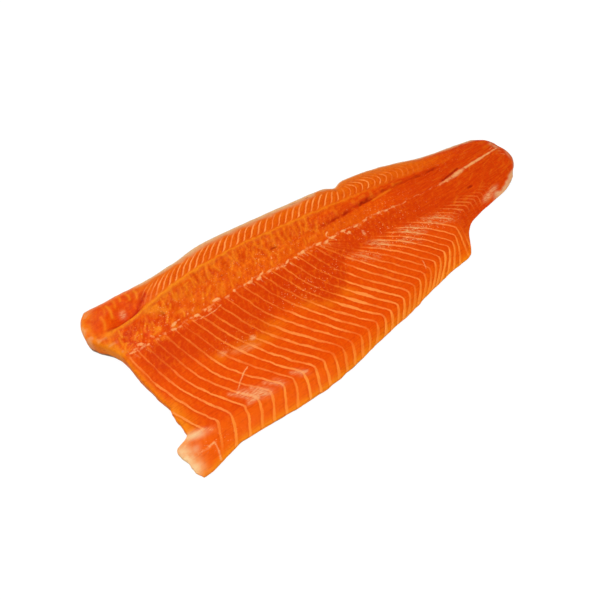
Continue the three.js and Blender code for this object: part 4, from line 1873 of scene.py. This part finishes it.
@dataclass(frozen=True)
class Flesh:
    """The flesh: a closed mesh with the flakes' relief and the painted layers."""

    form: FilletForm
    rim: Rim
    flakes: FlakePattern
    paint: FleshPaint
    finish: FleshFinish = FleshFinish()
    along: int = 440
    across: tuple[int, ...] = (22, 48, 42, 20, 20, 14, 15)
    wall_rows: tuple[float, ...] = (0.1, 0.22, 0.36, 0.52, 0.7, 0.86, 1.0)
    wall_reach: int = 12
    wall_wobble: Ripple = Ripple(61, 7.0, 0.5)
    wall_lane: float = 25
    wall_fat: Ramp = Ramp(0, 0.3, 1.0, 0.0)
    wall_gold: float = 0.6
    wall_pale: float = 0.75
    foot_pale: Ramp = Ramp(0.7, 1.0, 0, 0.5)
    skin_step: Ramp = Ramp(-0.06, 0.06)
    floor_share: float = 0.5
    end_calm: Ramp = Ramp(0, 8)
    flake_step: float = 0.5
    flake_ramp: float = 1.5
    ramp_range: Span = (0.05, 0.4)
    flake_groove: Bell = Bell(0.9, 0.25)
    seam_rise: Curve = Curve(((-250, 0.3), (-225, 1.0), (-40, 0.9), (40, 0.5), (100, 0)))
    rope_rise: Curve = Curve(((0, 0), (30, 0.8), (120, 0.8), (180, 0)))
    seam_ridge: Bell = Bell(2.2)
    seam_dip: Bell = Bell(1.8, 0.6)
    seam_dip_off: float = 4.2
    bumps: Ripples = (Ripple(52, 7.0, 0.7), Ripple(53, 2.8, 0.14))
    bumps_low: Ramp = Ramp(2, 8)
    bumps_high: Ramp = Ramp(-1, -4)
    bumps_head: Ramp = Ramp(35, -25)
    lumps: Ripple = Ripple(57, 9.0, 0.9)
    lumps_head: Ramp = Ramp(-200, -215)
    lumps_low: Ramp = Ramp(-2, 8)
    gape: Bell = Bell(1.6, 0.9)
    rope: Bell = Bell(4.0)
    rope_off: float = 1
    knots: Ripple = Ripple(43, 5.0, 0.5)
    sinew: Bell = Bell(2.2, 0.5)
    sinew_reach: Reach = Reach((156, 166), (262, 250))
    mark_heights: tuple[tuple[Layer, float], ...] = (
        (Layer.FLECK, 0.4), (Layer.SMEAR, 0.2), (Layer.DEEP, -0.3),
    )
    pit_depth: float = 0.9
    waves: Ripples = (Ripple(54, 42.0, 0.5), Ripple(55, 15.0, 0.2), Ripple(56, 2.6, 0.12))
    map_start: Span = (0.005, 0.11)
    map_size: Span = (0.99, 0.88)
    map_wall: float = 0.1
    map_row: float = 0.012

    def build(self) -> Piece:
        """Builds the piece and dresses it.

        Returns:
            The flesh object.
        """
        at = self.form.plan(np.linspace(0, 1, self.along + 1), steps_across(self.across))
        phase = self.flakes.phase(at.x, at.y)
        layers = self.paint.painted(at, phase)
        layers[Layer.FLAKE] = phase
        layers[Layer.PITCH] = self.flakes.spacing(at.x, at.y, phase)
        ends = self.end_calm(at.from_head) * self.end_calm(at.from_tail)
        top = np.stack([at.x, at.y, self.form.height(at) + ends * self.relief(at, layers)], -1)
        points, faces, layers, places = self.closed(top, layers)
        piece = mesh_piece("flesh", points, faces, layers, self.finish.material())
        self.unwrapped(piece, places)
        return piece

    def relief(self, at: Plan, layers: Layers) -> Array:
        """Unevenness of the flesh above its smooth form.

        Args:
            at: Places on the flesh.
            layers: The painted layers.

        Returns:
            The height to add at each place.
        """
        x = at.x
        height = self.flake_steps(layers) + at.noise(*self.waves)
        ridge = self.seam_ridge(at.off_seam) - self.seam_dip(at.off_seam + self.seam_dip_off)
        height += self.seam_rise(x) * ridge
        spine = self.bumps_low(at.off_bone) * self.bumps_high(at.off_seam) * self.bumps_head(x)
        height += spine * at.noise(*self.bumps)
        height += at.noise(self.lumps) * self.lumps_head(x) * self.lumps_low(at.off_seam)
        height -= self.form.groove_depth(x) * self.gape(at.off_groove)
        height += self.rope_rise(x) * self.rope(at.off_rope - self.rope_off) * (1 + at.noise(self.knots))
        height += self.sinew(at.y - self.form.sinew(x)) * self.sinew_reach(x)
        height -= self.pit_depth * at.marked(self.paint.marks.pits)
        return height + sum(rise * layers[layer] for layer, rise in self.mark_heights)

    def flake_steps(self, layers: Layers) -> Array:
        """Small steps from flake to flake, with a groove at the foot of each.

        Args:
            layers: The painted layers.

        Returns:
            The height to add at each place.
        """
        phase, pitch = layers[Layer.FLAKE], layers[Layer.PITCH]
        t = phase - np.floor(phase)
        ramp = np.clip(self.flake_ramp / pitch, *self.ramp_range)
        saw = np.where(t < 1 - ramp, 1 - t / (1 - ramp), (t - 1 + ramp) / ramp) - 0.5
        foot = (t - 1) * pitch + self.flake_ramp
        return layers[Layer.FAT] * (self.flake_step * saw - self.flake_groove(foot))

    def closed(self, top: Array, layers: Layers) -> tuple[Array, Faces, Layers, Array]:
        """Closes the top with a side that rounds in under the rim and a flat foot.

        Args:
            top: The grid of top points.
            layers: The layers painted on the top.

        Returns:
            The points, the faces, the layers for all points, and each point's place on a flat map.
        """
        ring = self.rim.ring(top, self.wall_reach)
        count, rim, skin = len(ring.order), ring.points, self.rim.skin_thickness
        points = [top.reshape(-1, 3)]
        faces = grid_faces(*top.shape[:2])
        flat = {layer: values.reshape(-1) for layer, values in layers.items()}
        stacks = {layer: [values] for layer, values in flat.items()}
        low, high = points[0][:, :2].min(0), points[0][:, :2].max(0)
        places = [(points[0][:, :2] - low) / (high - low) * self.map_size + self.map_start]
        round_share = self.map_start[0] + self.map_size[0] * np.linspace(0, 1, count)
        travelled = np.cumsum(np.linalg.norm(rim - np.roll(rim, 1, 0), axis=1))
        above = ring.index
        for number, share in enumerate(self.wall_rows, 1):
            angle = share * math.pi / 2
            wobble = self.wall_wobble(travelled, np.full(count, self.wall_lane * share))
            inset = ring.run * (1 - math.cos(angle)) + skin * self.skin_step(angle - ring.highest)
            inset += wobble * math.sin(2 * angle)
            row = rim.copy()
            row[:, :2] += ring.inward * inset[:, None]
            row[:, 2] = np.maximum(rim[:, 2] * (1 - math.sin(angle)), skin * self.floor_share)
            below = sum(len(block) for block in points) + np.arange(count)
            faces += ring_faces(below, above)
            points.append(row)
            places.append(np.stack([round_share, np.full(count, self.map_wall - self.map_row * number)], 1))
            for layer, stack in stacks.items():
                stack.append(self.walled(layer, flat[layer][ring.index], share))
            above = below
        outline = [Vector((*point[:2], 0)) for point in points[-1]]
        for a, b, c in tessellate_polygon([outline]):
            corners = (above[a], above[b], above[c])
            turn = (outline[b] - outline[a]).cross(outline[c] - outline[a]).z
            faces.append(corners[::-1] if turn > 0 else corners)
        joined = {layer: np.concatenate(stack) for layer, stack in stacks.items()}
        return np.concatenate(points), faces, joined, np.concatenate(places)

    def walled(self, layer: Layer, rim: Array, share: float) -> Array:
        """A layer on the side, below its value at the rim.

        Args:
            layer: The layer.
            rim: Its values at the rim.
            share: How far down the side, from 0 to 1.

        Returns:
            The layer's values that far down.
        """
        if layer is Layer.FAT:
            return rim * self.wall_fat(share)
        if layer is Layer.EDGE:
            return rim * (1 - self.wall_gold * share)
        if layer is Layer.RIM:
            return np.maximum(rim * (1 - self.wall_pale * share * (1 - rim)), self.foot_pale(share))
        return rim

    def unwrapped(self, piece: Piece, places: Array) -> None:
        """Lays the piece out flat, with the top over most of the map.

        Args:
            piece: The flesh object.
            places: Each point's place on the map.
        """
        mesh = piece.data
        corners = np.empty(len(mesh.loops), dtype=np.int32)
        mesh.loops.foreach_get("vertex_index", corners)
        flat = mesh.uv_layers.new(name="OFBake")
        flat.data.foreach_set("uv", places[corners].astype(np.float32).reshape(-1))


@dataclass(frozen=True)
class Skin:
    """The skin: a thin closed shell under the flesh and up its sides."""

    form: FilletForm
    rim: Rim
    finish: SkinFinish = SkinFinish()
    along: int = 190
    across: tuple[int, ...] = (8, 16, 14, 7, 7, 5, 6)
    side_rows: int = 6
    wall_reach: int = 5
    lateral_width: float = 1.4
    thinnest: float = 0.6
    back_cut: float = 9.0
    end_cut: float = 2.0

    def build(self) -> Piece:
        """Builds the piece and dresses it.

        Returns:
            The skin object.
        """
        steps = steps_across(self.across)
        at = self.form.plan(np.linspace(0, 1, self.along + 1), steps)
        top = np.stack([at.x, at.y, self.form.height(at)], -1)
        columns, rows = at.x.shape
        ring = self.rim.ring(top, self.wall_reach)
        rim, inset = ring.points, ring.inward * ring.run[:, None]
        thick = np.minimum(self.rim.skin_thickness, self.thinnest * top[..., 2].reshape(-1))
        outer = [self.underside(top, ring.order, inset).reshape(-1, 3)]
        inner = [outer[0] + thick[:, None] * UP]
        girths = [np.repeat((steps / steps[-1])[None], columns, axis=0).reshape(-1)]
        cuts = [np.zeros(columns * rows)]
        cut_reach = np.array([self.back_cut if side is Side.BACK else self.end_cut for side in ring.sides])
        rim_thick, rim_girth = thick[ring.index, None], girths[0][ring.index]
        faces = grid_faces(columns, rows, flip=True)
        below = ring.index
        for share in np.linspace(0, 1, self.side_rows + 1)[1:]:
            angle = blend(math.pi / 2, ring.highest, share)[:, None]
            row = rim * (1, 1, 0) + rim * UP * (1 - np.sin(angle))
            row[:, :2] += inset * (1 - np.cos(angle))
            into = np.sin(angle) * UP
            into[:, :2] += np.cos(angle) * ring.inward
            above = sum(len(block) for block in outer) + np.arange(len(rim))
            faces += ring_faces(below, above)
            outer.append(row)
            inner.append(row + rim_thick * into)
            girths.append(rim_girth)
            cuts.append(share ** cut_reach)
            below = above
        count = sum(len(block) for block in outer)
        faces += [tuple(count + k for k in face[::-1]) for face in faces]
        faces += ring_faces(below, below + count)
        points = np.concatenate(outer + inner)
        layers = {
            Layer.GIRTH: np.concatenate(girths * 2),
            Layer.EDGE: np.concatenate(cuts * 2),
            Layer.LATERAL: bell(points[:, 1] - self.form.bone(points[:, 0]), self.lateral_width),
        }
        return mesh_piece("skin", points, faces, layers, self.finish.material())

    def underside(self, top: Array, order: Order, foot: Array) -> Array:
        """The flat underside, drawn in from the plan of the top as far as the side runs in.

        Args:
            top: The grid of top points.
            order: The rim's points, in order.
            foot: How far each rim point's foot is moved in, in plan.

        Returns:
            The grid of points on the surface that the fillet lies on.
        """
        columns, rows = top.shape[:2]
        edge = np.zeros((columns, rows, 2))
        for (i, j, _), move in zip(order, foot):
            edge[i, j] = move
        u = np.linspace(0, 1, columns)[:, None, None]
        y = top[..., 1:2]
        v = (y - y[:, :1]) / (y[:, -1:] - y[:, :1])
        along = blend(edge[:1], edge[-1:], u)
        across = blend(edge[:, :1], edge[:, -1:], v)
        corners = blend(blend(edge[:1, :1], edge[-1:, :1], u), blend(edge[:1, -1:], edge[-1:, -1:], u), v)
        flat = top.copy()
        flat[..., :2] += along + across - corners
        flat[..., 2] = 0
        return flat


@dataclass(frozen=True)
class Lamp:
    """A soft square lamp that looks at the fillet."""

    name: str
    place: Triple
    size: float
    power: float

    def build(self) -> None:
        """Hangs the lamp."""
        data = bpy.data.lights.new(self.name, "AREA")
        data.energy = self.power
        data.size = self.size * MM
        lamp = bpy.data.objects.new(self.name, data)
        lamp.location = Vector(self.place) * MM
        lamp.rotation_euler = (-Vector(self.place)).to_track_quat("-Z", "Y").to_euler()
        bpy.context.collection.objects.link(lamp)


@dataclass(frozen=True)
class Studio:
    """A white floor, soft light and the camera at the photograph's angle."""

    floor_size: float = 6000
    floor_drop: float = 0.2
    floor_grey: float = 0.18
    floor_glow: float = 0.88
    sky: float = 0.22
    dome_size: float = 4500
    dome_hidden_from: tuple[str, ...] = ("diffuse", "glossy", "transmission", "volume_scatter", "shadow")
    lens: float = 50
    sensor: float = 36
    azimuth: float = -31
    elevation: float = 54
    distance: float = 876.3
    target: Triple = (-55.9, 9.15, 0)
    lamps: tuple[Lamp, ...] = (
        Lamp("key", (100, -900, 1400), 1300, 12.5),
        Lamp("overhead", (-600, -200, 2000), 1500, 13.5),
        Lamp("back", (-700, 1100, 1200), 1200, 12.5),
    )

    def build(self) -> None:
        """Builds the floor, the backdrop, the lights and the camera."""
        self.floor()
        self.dome()
        self.sky_light()
        for lamp in self.lamps:
            lamp.build()
        self.camera()
        bpy.context.scene.view_settings.view_transform = "Standard"

    @staticmethod
    def white(name: str, grey: float, glow: float, **settings: float) -> Material:
        """Makes a finish that glows white.

        Args:
            name: The material's name.
            grey: How much light it throws back.
            glow: How bright it is by itself.
            settings: The shader's other sockets.

        Returns:
            The finished material.
        """
        g = Graph(name)
        g.set(Base_Color=(grey, grey, grey), Emission_Color=(1.0, 1.0, 1.0), Emission_Strength=glow)
        g.set(**settings)
        return g.material

    def floor(self) -> None:
        """Lays the plain floor just under the fillet."""
        half = self.floor_size / 2 * MM
        drop = -self.floor_drop * MM
        mesh = bpy.data.meshes.new("floor")
        corners = [(-half, -half, drop), (half, -half, drop), (half, half, drop), (-half, half, drop)]
        mesh.from_pydata(corners, [], [(0, 1, 2, 3)])
        dull = {"Roughness": 0.9, "Specular_IOR_Level": 0.1}
        mesh.materials.append(self.white("white_floor", self.floor_grey, self.floor_glow, **dull))
        floor = bpy.data.objects.new("floor", mesh)
        floor.visible_glossy = False
        bpy.context.collection.objects.link(floor)

    def dome(self) -> None:
        """Hangs a white backdrop all round, which gives no light of its own."""
        bpy.ops.mesh.primitive_uv_sphere_add(radius=self.dome_size * MM)
        dome = bpy.context.object
        dome.name = "backdrop"
        dome.data.materials.append(self.white("white_backdrop", 0.0, 1.0, Specular_IOR_Level=0.0))
        for ray in self.dome_hidden_from:
            setattr(dome, f"visible_{ray}", False)

    def sky_light(self) -> None:
        """Lights the scene evenly from all round."""
        world = bpy.data.worlds.new("sky")
        world.use_nodes = True
        background = next(n for n in world.node_tree.nodes if n.type == "BACKGROUND")
        background.inputs["Color"].default_value = (1, 1, 1, 1)
        background.inputs["Strength"].default_value = self.sky
        bpy.context.scene.world = world

    def camera(self) -> None:
        """Sets the camera at the photograph's angle."""
        a, e = math.radians(self.azimuth), math.radians(self.elevation)
        back = Vector((math.sin(a) * math.cos(e), -math.cos(a) * math.cos(e), math.sin(e)))
        data = bpy.data.cameras.new("camera")
        data.lens = self.lens
        data.sensor_width = self.sensor
        camera = bpy.data.objects.new("camera", data)
        camera.location = (Vector(self.target) + back * self.distance) * MM
        camera.rotation_euler = back.to_track_quat("Z", "Y").to_euler()
        bpy.context.collection.objects.link(camera)
        bpy.context.scene.camera = camera


def main() -> None:
    """Builds the fillet and its studio."""
    logging.basicConfig(level=logging.INFO, format="%(name)s: %(message)s")
    form = FilletForm()
    rim = Rim(form)
    flesh = Flesh(form, rim, FlakePattern(form), FleshPaint(form)).build()
    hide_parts(NODE)
    skin = Skin(form, rim).build()
    for piece, slot in ((flesh, "flesh"), (skin, "skin")):
        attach(piece, BODY)
        LOG.info("%s: %d points, %d faces", piece.name, len(piece.data.vertices), len(piece.data.polygons))
    Studio().build()


if __name__ == "__main__":
    main()
